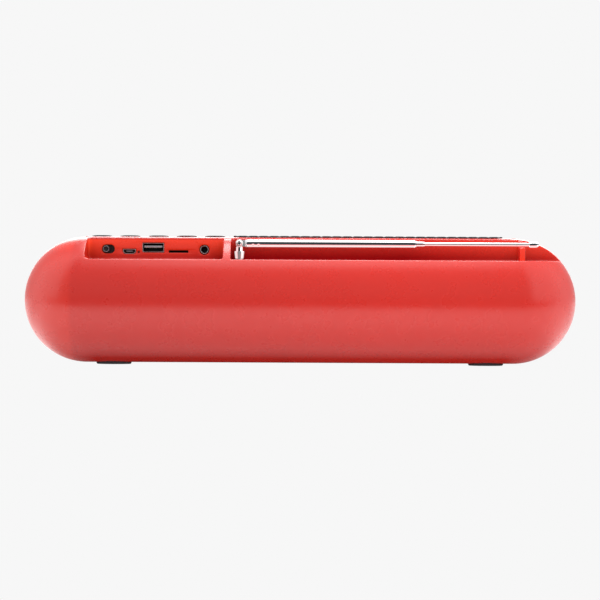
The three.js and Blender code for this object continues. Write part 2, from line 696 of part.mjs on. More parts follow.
[['left', -1], ['right', 1]].forEach(([name, side]) => {
  add(`${name}_driver_frame`, driverFrame(side), steel());
  add(`${name}_driver_magnet`, driverMagnet(side), finish(0x2a2a2c, 0.6, 0.5));
  add(`${name}_driver_cone`, driverCone(side), finish(0x151516, 0.8));
});
add('radiator_surround', radiatorSurround(), darkRubber());
add('radiator_plate', radiatorPlate(), blackPlastic());
SCREWS.forEach((screw) => add(screw.name, baffleScrew(screw), steel()));

CELL.z.forEach((z, index) => add(`battery_cell_${index + 1}`, batteryCell(z), finish(0x2f6fb0, 0.4)));
add('battery_holder', batteryHolder(), blackPlastic());

add('left_speaker_wire', wire([[-64, 6, 25.3], [-64, 1, 18], [-70, -1, 8], [-77.6, 1, 0]]), finish(0xb01818, 0.6));
add('right_speaker_wire', wire([
  [-50, 8, 25.3], [-47, 5, 20], [-38, 2, 19], [20, 2, 19], [60, 2, 18], [70, 1, 8], [77.6, 1, 0],
]), finish(0xb01818, 0.6));
add('battery_lead', wire([[-35.6, -13, 8], [-41, -6, 12], [-46, 0, 20], [-47, 3, 25.3]]), finish(0x202020, 0.6));
add('antenna_lead', wire([[-44.7, -13, 21.5], [-47, -8, 17], [-49, -2, 20], [-49.5, 1, 25.3]]), finish(0x202020, 0.6));

export default speaker;
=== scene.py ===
"""Looks of a pill-shaped portable radio speaker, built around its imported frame.

Mesh code works in millimetres in the frame's axes: +X along the casing, -Y the socket and antenna
side, +Y the grille side, +Z up. publish() turns millimetres into metres.
"""

import json
import math

import bmesh
import bpy
import numpy as np
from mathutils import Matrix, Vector


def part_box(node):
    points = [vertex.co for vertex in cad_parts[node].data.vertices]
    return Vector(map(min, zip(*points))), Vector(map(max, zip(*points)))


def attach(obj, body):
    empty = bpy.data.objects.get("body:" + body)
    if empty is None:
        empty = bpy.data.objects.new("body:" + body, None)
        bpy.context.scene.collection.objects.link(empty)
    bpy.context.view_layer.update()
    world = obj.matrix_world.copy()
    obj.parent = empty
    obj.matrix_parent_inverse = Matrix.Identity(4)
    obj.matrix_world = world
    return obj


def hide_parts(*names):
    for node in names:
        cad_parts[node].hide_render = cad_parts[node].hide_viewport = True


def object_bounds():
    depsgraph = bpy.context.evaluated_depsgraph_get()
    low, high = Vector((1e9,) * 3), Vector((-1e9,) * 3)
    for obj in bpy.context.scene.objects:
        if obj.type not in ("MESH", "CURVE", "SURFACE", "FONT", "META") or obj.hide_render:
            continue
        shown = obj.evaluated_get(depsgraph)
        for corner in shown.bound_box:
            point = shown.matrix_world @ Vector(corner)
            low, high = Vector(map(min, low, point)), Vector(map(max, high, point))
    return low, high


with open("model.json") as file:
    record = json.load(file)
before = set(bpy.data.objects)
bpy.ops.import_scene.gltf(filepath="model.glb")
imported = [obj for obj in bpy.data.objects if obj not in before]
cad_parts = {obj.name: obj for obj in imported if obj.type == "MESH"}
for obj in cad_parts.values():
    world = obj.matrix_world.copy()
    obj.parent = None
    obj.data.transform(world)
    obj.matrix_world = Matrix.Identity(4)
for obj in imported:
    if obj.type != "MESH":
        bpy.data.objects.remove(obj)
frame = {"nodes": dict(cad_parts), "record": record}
cad_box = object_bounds()

MM = 0.001


# ---------------- sizes, from the frame


def span(node):
    """Lowest and highest corner of a CAD node, in millimetres."""
    low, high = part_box(node)
    return np.array(low) / MM, np.array(high) / MM


def reach(node, axis):
    """Where a CAD node starts and ends along one axis."""
    low, high = span(node)
    k = "xyz".index(axis)
    return low[k], high[k]


def middle(node, without=""):
    """Middle of a CAD node, with a zero along the axis it is built along."""
    low, high = span(node)
    return (low + high) / 2 * [axis != without for axis in "xyz"]


RADIUS = float(reach("rear_shell", "z")[1])
HALF_STRAIGHT = float(reach("rear_shell", "x")[1]) - RADIUS
MOUTH_Y = float(reach("rear_shell", "y")[1])
WALL = 2.2

NOTCH_WALL_Y = -8.0
NOTCH_FLOOR_Z = 24.3
PORT_RECESS_X = (-129.5, -46.5)
CHANNEL_START_X = -42.0
EDGE_FILLET = 0.45
INNER_FILLET = 1.5

# the port panel: places and opening sizes
SWITCH_X = -117.1
KNOB_X = SWITCH_X - 1.3
CARD_SLOT_Z = 29.4
LED_Z = 29.0
LED_HOLE_RADIUS = 0.65
MICRO_OPENING = (8.5, 3.4)
USB_OPENING = (13.5, 6.2)
CARD_OPENING = (12, 1.55)
JACK_HOLE_RADIUS = 3.1

CLIP_X = (132.4, 135.6)
CLIP_POST_TOP = 32.5
CLIP_NUB_TOP = 36.9

BUTTONS = ["mode", "previous", "play", "next", "repeat"]
PIVOT = middle("antenna_hinge_screw")


# ---------------- mesh building


def grid(points, wrap_rows=False, caps=True):
    """Vertices and faces of rows of points that each close on themselves, with caps on the end rows."""
    rows, columns = points.shape[:2]
    index = np.arange(rows * columns).reshape(rows, columns)
    faces = []
    for i in range(rows if wrap_rows else rows - 1):
        for j in range(columns):
            k, m = (i + 1) % rows, (j + 1) % columns
            faces.append((index[i, j], index[i, m], index[k, m], index[k, j]))
    if caps and not wrap_rows:
        faces.append(tuple(index[0][::-1]))
        faces.append(tuple(index[-1]))
    return points.reshape(-1, 3), faces


def combine(*parts):
    vertices, faces, start = [], [], 0
    for part_vertices, part_faces in parts:
        vertices.append(part_vertices)
        faces.extend(tuple(int(i) + start for i in face) for face in part_faces)
        start += len(part_vertices)
    return np.vstack(vertices), faces


def raw_object(name, part):
    """An object from vertices in millimetres, merged, with its faces pointing out."""
    vertices, faces = combine(part)
    mesh = bpy.data.meshes.new(name)
    mesh.from_pydata((vertices * MM).tolist(), [], faces)
    work = bmesh.new()
    work.from_mesh(mesh)
    bmesh.ops.remove_doubles(work, verts=work.verts, dist=3e-6)
    bmesh.ops.dissolve_degenerate(work, edges=work.edges, dist=1e-7)
    bmesh.ops.recalc_face_normals(work, faces=work.faces)
    if work.calc_volume(signed=True) < 0:
        bmesh.ops.reverse_faces(work, faces=work.faces)
    work.to_mesh(mesh)
    work.free()
    piece = bpy.data.objects.new(name, mesh)
    bpy.context.scene.collection.objects.link(piece)
    return piece


def bake_modifiers(piece):
    """Replaces the piece's mesh by its evaluated one."""
    bpy.context.view_layer.update()
    evaluated = piece.evaluated_get(bpy.context.evaluated_depsgraph_get())
    mesh = bpy.data.meshes.new_from_object(evaluated)
    piece.modifiers.clear()
    old = piece.data
    piece.data = mesh
    bpy.data.meshes.remove(old)


def carve(piece, *parts):
    """Cuts closed parts out of a piece."""
    for part in parts:
        tool = raw_object("tool", part)
        change = piece.modifiers.new("carve", "BOOLEAN")
        change.operation = "DIFFERENCE"
        change.solver = "EXACT"
        change.object = tool
        bake_modifiers(piece)
        bpy.data.objects.remove(tool)


def soften(piece, width, segments):
    """Rounds the sharp edges of a piece."""
    bevel = piece.modifiers.new("soften", "BEVEL")
    bevel.width = width * MM
    bevel.segments = segments
    bevel.limit_method = "ANGLE"
    bevel.angle_limit = math.radians(40)
    bake_modifiers(piece)


def publish(piece, finish, node=None, body="casing", sharp=38):
    """Gives a piece its finish, lets it ride on a CAD body and stand for a CAD node."""
    mesh = piece.data
    mesh.polygons.foreach_set("use_smooth", [True] * len(mesh.polygons))
    mesh.set_sharp_from_angle(angle=math.radians(sharp))
    mesh.materials.clear()
    mesh.materials.append(finish)
    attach(piece, body)
    if node:
        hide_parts(node)


def make(name, part, finish, node=None, body="casing", sharp=38):
    publish(raw_object(name, part), finish, node, body, sharp)


def rounded(corners, steps=4):
    """A path through (a, b, fillet) corners, each fillet a smooth curve."""
    path = []
    for i, (a, b, fillet) in enumerate(corners):
        corner = np.array((a, b), float)
        if not fillet:
            path.append(corner)
            continue
        ends = []
        for other in (corners[i - 1], corners[(i + 1) % len(corners)]):
            way = np.array(other[:2], float) - corner
            ends.append(corner + way / np.linalg.norm(way) * fillet)
        for t in np.linspace(0, 1, steps + 1):
            path.append((1 - t) ** 2 * ends[0] + 2 * t * (1 - t) * corner + t * t * ends[1])
    return path


AXES = {"x": (2, 0, 1), "y": (0, 2, 1), "z": (0, 1, 2)}


def stack(outline, layers, axis="z", centre=(0, 0, 0)):
    """A solid of outlines stacked along an axis, each layer an (inset, height)."""
    rows = []
    for inset, height in layers:
        plan = outline(inset)
        rows.append(np.column_stack([plan, np.full(len(plan), height)]))
    points = np.array(rows)[..., AXES[axis]] + np.array(centre, float)
    return grid(points)


def turned(profile, axis, centre=(0, 0, 0), count=64, closed=False):
    """A solid of revolution from (radius, height) points, or a ring when it is closed."""
    angles = np.arange(count) * 2 * math.pi / count
    around = np.column_stack([np.cos(angles), np.sin(angles)])
    rows = [np.column_stack([around * r, np.full(count, h)]) for r, h in profile]
    points = np.array(rows)[..., AXES[axis]] + np.array(centre, float)
    return grid(points, wrap_rows=closed)


def prism(profile, start, end, axis="z", centre=(0, 0, 0)):
    """A flat profile drawn out straight along an axis."""
    return stack(lambda inset: profile, [(0, start), (0, end)], axis, centre)


def ellipse(half_length, half_depth, count=64):
    angles = np.arange(count) * 2 * math.pi / count
    unit = np.column_stack([np.cos(angles), np.sin(angles)])
    return lambda inset: unit * (half_length - inset, half_depth - inset)


def pill(half_straight, radius, around=32, along=24):
    """An outline with two straight sides, counter-clockwise."""

    def outline(inset):
        turn = np.linspace(-math.pi / 2, math.pi / 2, around + 1)
        straight = np.linspace(half_straight, -half_straight, along + 1)[1:-1]
        r = radius - inset
        right = np.column_stack([half_straight + r * np.cos(turn), r * np.sin(turn)])
        top = np.column_stack([straight, np.full(len(straight), r)])
        left = -right
        bottom = np.column_stack([straight[::-1], np.full(len(straight), -r)])
        return np.vstack([right, top, left, bottom])

    return outline


def rounded_box(width, height, corner, steps=6):
    """A rectangle outline with round corners."""

    def outline(inset):
        r = max(corner - inset, 0.02)
        a, b = width / 2 - inset - r, height / 2 - inset - r
        points = []
        for k, (u, v) in enumerate([(a, b), (-a, b), (-a, -b), (a, -b)]):
            turn = k * math.pi / 2 + np.linspace(0, math.pi / 2, steps + 1)
            points.append(np.column_stack([u + r * np.cos(turn), v + r * np.sin(turn)]))
        return np.vstack(points)

    return outline


def micro_outline(width, height):
    """Micro-USB outline, wide side up, with rounded corners."""
    corners = [
        (-0.36, -0.5, 0.07), (0.36, -0.5, 0.07), (0.5, -0.08, 0.07), (0.5, 0.5, 0.05),
        (-0.5, 0.5, 0.05), (-0.5, -0.08, 0.07),
    ]
    unit = np.array(rounded(corners))
    return lambda inset: unit * (width - 2 * inset, height - 2 * inset)


def box_part(low, high):
    low, high = np.array(low, float), np.array(high, float)
    size = high - low
    centre = (low + high) / 2 * (1, 1, 0)
    return prism(rounded_box(size[0], size[1], 0.02, 1)(0), low[2], high[2], "z", centre)


def make_soft(name, part, width, segments, finish, node, body="casing"):
    """A piece with rounded edges, standing for a CAD node."""
    piece = raw_object(name, part)
    soften(piece, width, segments)
    publish(piece, finish, node, body)


def lathe(name, corners, axis, centre, finish, node, body="casing", count=64, steps=4, closed=False):
    """A turned piece from (radius, height, fillet) corners, standing for a CAD node."""
    make(name, turned(rounded(corners, steps), axis, centre, count, closed), finish, node, body)


# ---------------- rear shell


def rounded_max(a, b, radius):
    """The overlap of two solids given by signed distances, its edge rounded by a radius."""
    corner = np.hypot(np.maximum(a + radius, 0), np.maximum(b + radius, 0))
    return np.minimum(np.maximum(a, b), -radius) + corner


def notch_field(p, start, end, start_corner, end_corner, margin):
    """Signed distance to the space of a notch."""
    along = np.maximum(start - margin - p[:, 0], p[:, 0] - end - margin)
    below = NOTCH_FLOOR_Z - margin - p[:, 2]
    behind = p[:, 1] - NOTCH_WALL_Y - margin
    corner = np.where(p[:, 0] < (start + end) / 2, start_corner, end_corner)
    return rounded_max(rounded_max(along, below, corner), behind, INNER_FILLET)


def casing_field(p, radius, margin):
    """Signed distance to the capsule without its notches, all edges rounded."""
    past = np.maximum(np.abs(p[:, 0]) - HALF_STRAIGHT, 0)
    capsule = np.sqrt(past**2 + p[:, 1] ** 2 + p[:, 2] ** 2) - radius
    channel = notch_field(p, CHANNEL_START_X, 400, 0.9, 0.9, margin)
    recess = notch_field(p, *PORT_RECESS_X, 2.8, 1.7, margin)
    return rounded_max(capsule, -np.minimum(channel, recess), EDGE_FILLET)


def settle(p, field, rounds=12):
    """Moves points along the field's slope until they lie on its surface."""
    step, longest_move = 1e-3, 0.6
    for _ in range(rounds):
        value = field(p)
        slope = np.column_stack([
            (field(p + offset) - field(p - offset)) / (2 * step) for offset in np.eye(3) * step
        ])
        size = np.maximum((slope**2).sum(1), 0.05)
        p = p - slope * np.clip(value / size, -longest_move, longest_move)[:, None]
    return p


NEAR_EDGE = np.array([0, 0.14, 0.28, 0.44, 0.62, 0.84, 1.15, 1.6])
ROUGH_RADIUS = 38


def spaced(length, count, fine_start, fine_end):
    """Fractions from 0 to 1 along a length, crowded near the ends that hold an edge."""
    near = NEAR_EDGE * min(1, 0.45 * length / NEAR_EDGE[-1]) / max(length, 1e-9)
    start = near if fine_start else np.array([0.0])
    end = 1 - near[::-1] if fine_end else np.array([1.0])
    return np.concatenate([start, np.linspace(start[-1], end[0], count + 2)[1:-1], end])


def ring_angles(rho, mouth_y, margin):
    """Angles from straight up towards the rear: upper mouth, wall edge, floor edge, lower mouth."""
    wall, floor = -NOTCH_WALL_Y - margin, NOTCH_FLOOR_Z - margin
    mouth = math.asin(min(1, mouth_y / max(rho, 1e-9)))
    crease = lip = math.atan2(wall, floor)
    if rho > math.hypot(wall, floor):
        crease, lip = math.asin(wall / rho), math.acos(floor / rho)
    return -mouth, crease, lip, math.pi + mouth


def section(rho, reference, mouth_y, margin):
    """Plain and notched outlines of one station, column by column, as (y, z) points."""
    _, crease, lip, _ = ring_angles(reference, mouth_y, margin)
    start, _, _, end = ring_angles(rho, mouth_y, margin)
    wall, floor = -NOTCH_WALL_Y - margin, NOTCH_FLOOR_Z - margin
    upper = start + (crease - start) * spaced(ROUGH_RADIUS * (crease - start), 16, False, True)
    lower = lip + (end - lip) * spaced(ROUGH_RADIUS * (end - lip), 60, True, False)
    wall_top = max(reference * math.cos(crease), floor)
    drop = wall_top + (floor - wall_top) * spaced(wall_top - floor, 8, True, True)
    floor_end = max(reference * math.sin(lip), wall)
    reach = wall + (floor_end - wall) * spaced(floor_end - wall, 10, True, True)
    notch = np.vstack([
        np.column_stack([np.full(len(drop), wall), drop]),
        np.column_stack([reach, np.full(len(reach), floor)])[1:],
    ])
    middle_angles = np.arctan2(notch[:, 0], notch[:, 1])
    angles = np.concatenate([upper[:-1], middle_angles, lower[1:]])
    plain = rho * np.column_stack([-np.sin(angles), np.cos(angles)])
    notched = plain.copy()
    if reference <= math.hypot(wall, floor):
        return plain, notched
    first = len(upper) - 1
    notched[first:first + len(notch)] = notch * (-1, 1)
    return plain, notched


def stations(radius, margin):
    """Rows from the left tip to the right tip as (x, share of the notched outline)."""
    offsets = np.concatenate([NEAR_EDGE, [2.2, 3.0]])
    walls = np.concatenate([offsets / 8, [0.5], 1 - offsets[::-1] / 8])
    left, right = PORT_RECESS_X[0] - margin, PORT_RECESS_X[1] + margin
    start = CHANNEL_START_X - margin
    tip = np.arange(90, 0, -3)
    cap = -HALF_STRAIGHT - radius * np.sin(np.radians(tip))
    rows = [(x, 0) for x in cap if x < left - 3.3]
    rows += [(left - d, 0) for d in offsets[:0:-1]]
    rows += [(left, share) for share in walls]
    rows += [(left + d, 1) for d in offsets[1:]]
    if margin:
        rows += [(x, 1) for x in np.linspace(left + 10, HALF_STRAIGHT, 30)]
    else:
        rows += [(x, 1) for x in np.linspace(left + 8, right - 8, 9)]
        rows += [(right - d, 1) for d in offsets[:0:-1]]
        rows += [(right, share) for share in walls[::-1]]
        rib = (start - right) / 2
        near = [d for d in NEAR_EDGE[1:] if d < rib - 0.1]
        rows += [(right + d, 0) for d in near] + [(right + rib, 0)]
        rows += [(start - d, 0) for d in near[::-1]]
        rows += [(start, share) for share in walls]
        rows += [(start + d, 1) for d in offsets[1:]]
        rows += [(x, 1) for x in np.linspace(start + 8, HALF_STRAIGHT, 22)]
    corner = math.hypot(-NOTCH_WALL_Y - margin, NOTCH_FLOOR_Z - margin)
    end = math.sqrt(radius**2 - corner**2)
    reach = np.concatenate([
        radius * np.sin(np.radians(np.arange(3, 90, 3))),
        end - np.array([0, 0.15, 0.35, 0.7, 1.2]), [radius],
    ])
    rows += [(HALF_STRAIGHT + d, 1) for d in np.unique(reach)]
    return rows


def casing_solid(radius, margin, mouth_y):
    """The capsule with its notches, filled, ending at the mouth plane."""
    rows = []
    for x, share in stations(radius, margin):
        past = max(abs(x) - HALF_STRAIGHT, 0)
        rho = math.sqrt(max(radius**2 - past**2, 0))
        reference = rho if x > HALF_STRAIGHT else radius
        plain, notched = section(rho, reference, mouth_y, margin)
        outline = plain + share * (notched - plain) if past < radius - 1e-9 else plain
        rows.append(np.column_stack([np.full(len(outline), x), outline]))
    points = np.array(rows)
    shape = points.shape
    flat = points.reshape(-1, 3)
    moved = settle(flat, lambda p: casing_field(p, radius, margin))
    keep = (np.abs(flat[:, 1] - mouth_y) < 1e-6) | (np.hypot(flat[:, 1], flat[:, 2]) < 1e-6)
    moved[keep] = flat[keep]
    return grid(moved.reshape(shape), caps=False)


def port_cutters():
    """Shapes of the holes in the notch wall, each flared a little at the outer face."""
    face = NOTCH_WALL_Y
    flare = [(-0.5, face - 0.4), (-0.22, face), (-0.06, face + 0.12), (0, face + 0.3), (0, face + 4)]
    knob, led, card = middle("power_slider"), middle("status_led"), middle("card_socket")
    micro, usb, aux = middle("micro_usb_socket"), middle("usb_socket"), middle("aux_jack_ferrule")
    openings = [
        (pill(1.2, 2.75), SWITCH_X, knob[2]),
        (micro_outline(*MICRO_OPENING), micro[0], micro[2]),
        (ellipse(LED_HOLE_RADIUS, LED_HOLE_RADIUS, 24), led[0], LED_Z),
        (rounded_box(*USB_OPENING, 0.4), usb[0], usb[2]),
        (rounded_box(*CARD_OPENING, 0.3), card[0], CARD_SLOT_Z),
        (ellipse(JACK_HOLE_RADIUS, JACK_HOLE_RADIUS, 48), aux[0], aux[2]),
    ]
    return [stack(outline, flare, "y", (x, 0, z)) for outline, x, z in openings]


def clip_part():
    """The upright rib that holds the antenna, an L seen along the casing."""
    wall, floor = NOTCH_WALL_Y + 0.6, NOTCH_FLOOR_Z - 0.6
    outline = rounded([
        (-21.5, floor, 0), (-21.5, CLIP_POST_TOP, 1.2), (-10.6, CLIP_POST_TOP, 0.4),
        (-10.6, CLIP_NUB_TOP, 1.2), (wall, CLIP_NUB_TOP, 0), (wall, floor, 0),
    ], 6)
    return prism(np.array(outline), *CLIP_X, "x")


def rear_shell(finish, clip_finish):
    shell = raw_object("rear_shell_skin", casing_solid(RADIUS, 0, MOUTH_Y))
    cavity = casing_solid(RADIUS - WALL, WALL, MOUTH_Y + 3)
    opening = box_part((-129.5, -4.5, 20), (129.5, 11, 45))
    carve(shell, cavity, opening, *port_cutters())
    publish(shell, finish, "rear_shell")
    make_soft("antenna_clip", clip_part(), 0.45, 3, clip_finish, "rear_shell")


# ---------------- strip, buttons, rest, feet


def crown(x, y, radius):
    """Height of the capsule of some radius above a place in plan."""
    past = np.maximum(np.abs(x) - HALF_STRAIGHT, 0)
    return np.sqrt(np.maximum(radius**2 - y**2 - past**2, 0))


def draped(outline, layers, centre=(0, 0), side=1, relief=None):
    """A solid in rings of an outline; a layer is (inset, capsule radius or None, lift)."""
    rows = []
    for inset, radius, lift in layers:
        plan = outline(inset) + np.array(centre)
        x, y = plan[:, 0], plan[:, 1]
        if radius is None:
            z = np.full(len(plan), lift)
        else:
            z = side * (crown(x, y, radius) + lift)
            if relief is not None and radius == relief[0]:
                z = z + relief[1](x)
        rows.append(np.column_stack([plan, z]))
    return grid(np.array(rows), caps=False)


def fillet_layers(radius, fillet, steps=5):
    """Layers that round the upper outer edge of a draped solid."""
    turn = np.linspace(0, math.pi / 2, steps + 1)
    return [(fillet * (1 - math.cos(t)), radius, -fillet * (1 - math.sin(t))) for t in turn]


STRIP_THICKNESS = 0.25
BUTTON_SAG = 0.45
HOLE_HEIGHTS = (30, 45)


def control_strip(finish):
    low, high = span("control_panel")
    half_width = (high[1] - low[1]) / 2
    outline = pill(high[0] - half_width, half_width, 40, 60)
    crown_radius = float(high[2]) - 0.2
    under = crown_radius - STRIP_THICKNESS
    inner = [0.9, 1.6, 3, 5, 7, 9, half_width]
    layers = [(d, under, 0) for d in inner[::-1]] + [(0, under, 0)]
    layers += fillet_layers(crown_radius, 0.2) + [(d, crown_radius, 0) for d in inner]
    strip = raw_object("control_strip", draped(outline, layers, (0, (high[1] + low[1]) / 2)))
    low, high = span("phone_rest")
    rest_half = (high[1] - low[1]) / 2 + 0.25
    straight = (high[0] - low[0]) / 2 + 0.25 - rest_half
    openings = [(name + "_button", ellipse(6.5, 4.45)) for name in BUTTONS]
    openings.append(("phone_rest", pill(straight, rest_half)))
    for node, hole in openings:
        carve(strip, prism(hole(0), *HOLE_HEIGHTS, "z", middle(node, "z")))
    publish(strip, finish, "control_panel")


def push_buttons(finish):
    for name in BUTTONS:
        node = name + "_button"
        low, high = span(node)
        centre = middle(node, "z")
        half_depth, half_length = 4.2, 6.25
        insets = np.array([0, 0.05, 0.15, 0.3, 0.5, 0.8, 1.2, 1.7, 2.3, 3.0, 3.6, half_depth])
        dome = [(i, high[2] - BUTTON_SAG * (1 - i / half_depth) ** 2.6) for i in insets]
        shoulder = low[2] + 0.6
        cap = stack(ellipse(half_length, half_depth), [(0, shoulder)] + dome, "z", centre)
        half = (high - low) / 2
        flange = prism(ellipse(half[0], half[1])(0), low[2], shoulder, "z", centre)
        make(node + "_cap", combine(cap, flange), finish, node, name + "_key")


RIB_PITCH = 6.4
RIB_DEPTH = 0.42
TROUGH_HALF_WIDTH = 4.5


def rib_relief(x):
    """Shallow grooves across the rubber, one rib pitch apart."""
    wave = np.abs(np.sin(math.pi * x / RIB_PITCH))
    return RIB_DEPTH * (np.minimum(wave * 1.8, 1) ** 0.6 - 1)


def phone_rest(finish):
    low, high = span("phone_rest")
    half_width = (high[1] - low[1]) / 2
    half_straight = (high[0] - low[0]) / 2 - half_width
    outline = pill(half_straight, half_width, 32, 220)
    top = float(high[2])
    wall = half_width - TROUGH_HALF_WIDTH
    ledge, trough = 36.2, 31.2
    layers = [(half_width, None, low[2]), (wall - 1.4, None, low[2])]
    layers += [(wall - 1.6, None, low[2] + 0.3), (wall - 1.6, None, ledge), (0, None, ledge)]
    layers += fillet_layers(top, 0.5)
    layers += [(d, top, 0) for d in np.linspace(0.7, wall - 0.5, 5)]
    turn = np.linspace(0, math.pi / 2, 5)
    layers += [(wall - 0.5 + 0.5 * math.sin(t), top, -0.5 * (1 - math.cos(t))) for t in turn]
    layers += [(wall, None, trough + 0.3), (wall + 0.3, None, trough), (half_width, None, trough)]
    part = draped(outline, layers, middle("phone_rest")[:2], relief=(top, rib_relief))
    make("phone_rest_rubber", part, finish, "phone_rest")


def feet(finish):
    for side in ("left", "right"):
        node = "foot_" + side
        low, high = span(node)
        half_length, half_width, _ = (high - low) / 2
        outer = RADIUS + 0.05
        layers = [(half_width * share, outer, 0) for share in (1, 0.6, 0.3, 0)]
        curve = rounded([(0, -37.5, 0), (0, low[2] + 0.9, 0), (0.3, low[2], 0.7), (3, low[2], 0)], 6)
        layers += [(i, None, z) for i, z in curve[1:]] + [(half_width, None, low[2])]
        part = draped(ellipse(half_length, half_width), layers, middle(node)[:2], side=-1)
        make(node + "_pad", part, finish, node)


# ---------------- front


def pill_ring(cross_section, along=40, around=48):
    """A ring round the front opening from a closed (distance from the axis line, y) outline."""
    rows = []
    for distance, y in cross_section:
        plan = pill(HALF_STRAIGHT, 0, around, along)(-distance)
        rows.append(np.column_stack([plan[:, 0], np.full(len(plan), y), plan[:, 1]]))
    return grid(np.array(rows), wrap_rows=True)


def bezel(finish):
    back, front = reach("front_bezel", "y")
    hole = 24.0
    arc = [(math.sqrt(RADIUS**2 - y * y), y) for y in np.linspace(back + 0.3, front - 0.5, 8)]
    edge = rounded([(arc[-1][0], arc[-1][1], 0), (math.sqrt(RADIUS**2 - front**2), front, 0.5),
                    (hole, front, 0.6), (hole, back, 0)], 5)
    section_points = [(arc[0][0] - 0.3, back)] + arc + [tuple(p) for p in edge[1:]]
    make("front_bezel_ring", pill_ring(section_points), finish, "front_bezel")


HOLE_PITCH = 3.0
HOLE_RADIUS = 1.05
CELL_POINTS = 12
NEIGHBOURS = [(2, 0), (1, 1), (-1, 1), (-2, 0), (-1, -1), (1, -1)]


def on_grille(flat, radius):
    """Places flat (u, v) points on the front of a capsule, keeping distances from its axis line."""
    u, v = flat[..., 0], flat[..., 1]
    past = u - np.clip(u, -HALF_STRAIGHT, HALF_STRAIGHT)
    distance = np.hypot(past, v)
    turn = distance / RADIUS
    scale = np.where(distance > 1e-9, radius * np.sin(turn) / np.maximum(distance, 1e-9), 1)
    return np.stack([u - past + past * scale, radius * np.cos(turn), v * scale], -1)


def hole_centres(limit):
    """Flat places of the grille's holes, by (column in half pitches, row)."""
    row_step = HOLE_PITCH * math.sqrt(3) / 2
    rows = int(limit / row_step)
    columns = int((HALF_STRAIGHT + limit) / HOLE_PITCH) + 1
    cells = {}
    for row in range(-rows, rows + 1):
        for column in range(-2 * columns + row % 2, 2 * columns + 2, 2):
            u, v = HOLE_PITCH * column / 2, row_step * row
            if math.hypot(max(abs(u) - HALF_STRAIGHT, 0), v) < limit:
                cells[(column, row)] = (u, v)
    return cells


def cell_faces(cells, base, column, row):
    """Faces of one cell: its front, back and bore, and its sides where the sheet ends."""
    border, bore, back_border, back_bore = (base + CELL_POINTS * ring for ring in range(4))
    faces = []
    for k in range(CELL_POINTS):
        m = (k + 1) % CELL_POINTS
        faces.append((border + k, border + m, bore + m, bore + k))
        faces.append((back_border + k, back_bore + k, back_bore + m, back_border + m))
        faces.append((bore + k, bore + m, back_bore + m, back_bore + k))
    for side, (right, up) in enumerate(NEIGHBOURS):
        if (column + right, row + up) in cells:
            continue
        for k in (2 * side - 1, 2 * side):
            a, b = k % CELL_POINTS, (k + 1) % CELL_POINTS
            faces.append((border + a, back_border + a, back_border + b, border + b))
    return faces


def grille(finish):
    """A sheet of hexagonal cells with a round hole each, under a plain rolled rim."""
    edge_y, front = reach("front_grille", "y")
    outer = front - 0.3
    full = math.acos(edge_y / RADIUS)
    cells = hole_centres(RADIUS * full - 1.6)
    centres = np.array(list(cells.values()))
    corner = np.arange(CELL_POINTS)
    angles = corner * 2 * math.pi / CELL_POINTS
    border = np.where(corner % 2, HOLE_PITCH / math.sqrt(3), HOLE_PITCH / 2)
    unit = np.column_stack([np.cos(angles), np.sin(angles)])
    template = np.vstack([unit * border[:, None], unit * HOLE_RADIUS])
    flat = centres[:, None, :] + template[None]
    points = np.concatenate([on_grille(flat, outer), on_grille(flat, outer - 0.7)], 1)
    faces = []
    for n, place in enumerate(cells):
        faces += cell_faces(cells, n * 4 * CELL_POINTS, *place)
    make("grille_sheet", (points.reshape(-1, 3), faces), finish, "front_grille", sharp=50)
    rim = []
    start = full - 3.2 / RADIUS
    for radius, first, last in ((RADIUS, 0, 1), (RADIUS - 1.0, 1, 0)):
        for t in np.linspace(first, last, 6):
            turn = start + (full - start) * t
            rim.append((radius * math.sin(turn), max(radius * math.cos(turn), edge_y)))
    make("grille_rim", pill_ring(rim), finish, "front_grille", sharp=60)


# ---------------- antenna


def post_parts(finish, fork_finish, neck_finish):
    """The turning post: tapered ferrule, slim neck, forked round head."""
    low, high = span("antenna_swivel")
    x, y = PIVOT[0], (low[1] + high[1]) / 2
    foot, shoulder, fork_floor = low[2], 29.7, 32.3
    lathe("antenna_ferrule", [
        (0, foot, 0), (2.5, foot, 0.2), (3.0, shoulder - 0.5, 0.25), (2.85, shoulder, 0.12),
        (0, shoulder, 0),
    ], "z", (x, y, 0), finish, "antenna_swivel", "antenna_post")
    lathe("antenna_neck", [
        (0, shoulder - 0.2, 0), (2.0, shoulder - 0.2, 0), (2.0, fork_floor, 0.2), (0, fork_floor, 0),
    ], "z", (x, y, 0), neck_finish, "antenna_swivel", "antenna_post")
    r = PIVOT[2] - fork_floor
    turn = np.linspace(-0.36, math.pi + 0.36, 29)
    side = np.vstack([
        np.column_stack([x + r * np.cos(turn), PIVOT[2] + r * np.sin(turn)]),
        [(x - 1.7, fork_floor - 0.3), (x + 1.7, fork_floor - 0.3)],
    ])
    post = raw_object("antenna_fork", prism(side, y - 2.8, y + 2.8, "y"))
    carve(post, box_part((x - 4, y - 1.1, fork_floor), (x + 4, y + 1.1, 40)))
    soften(post, 0.3, 3)
    publish(post, fork_finish, "antenna_swivel", "antenna_post")


def crossed_bars(half_length, half_width, front, back):
    """Two bars crossed on the hinge axis."""
    return [
        box_part((PIVOT[0] - a, front, PIVOT[2] - b), (PIVOT[0] + a, back, PIVOT[2] + b))
        for a, b in ((half_length, half_width), (half_width, half_length))
    ]


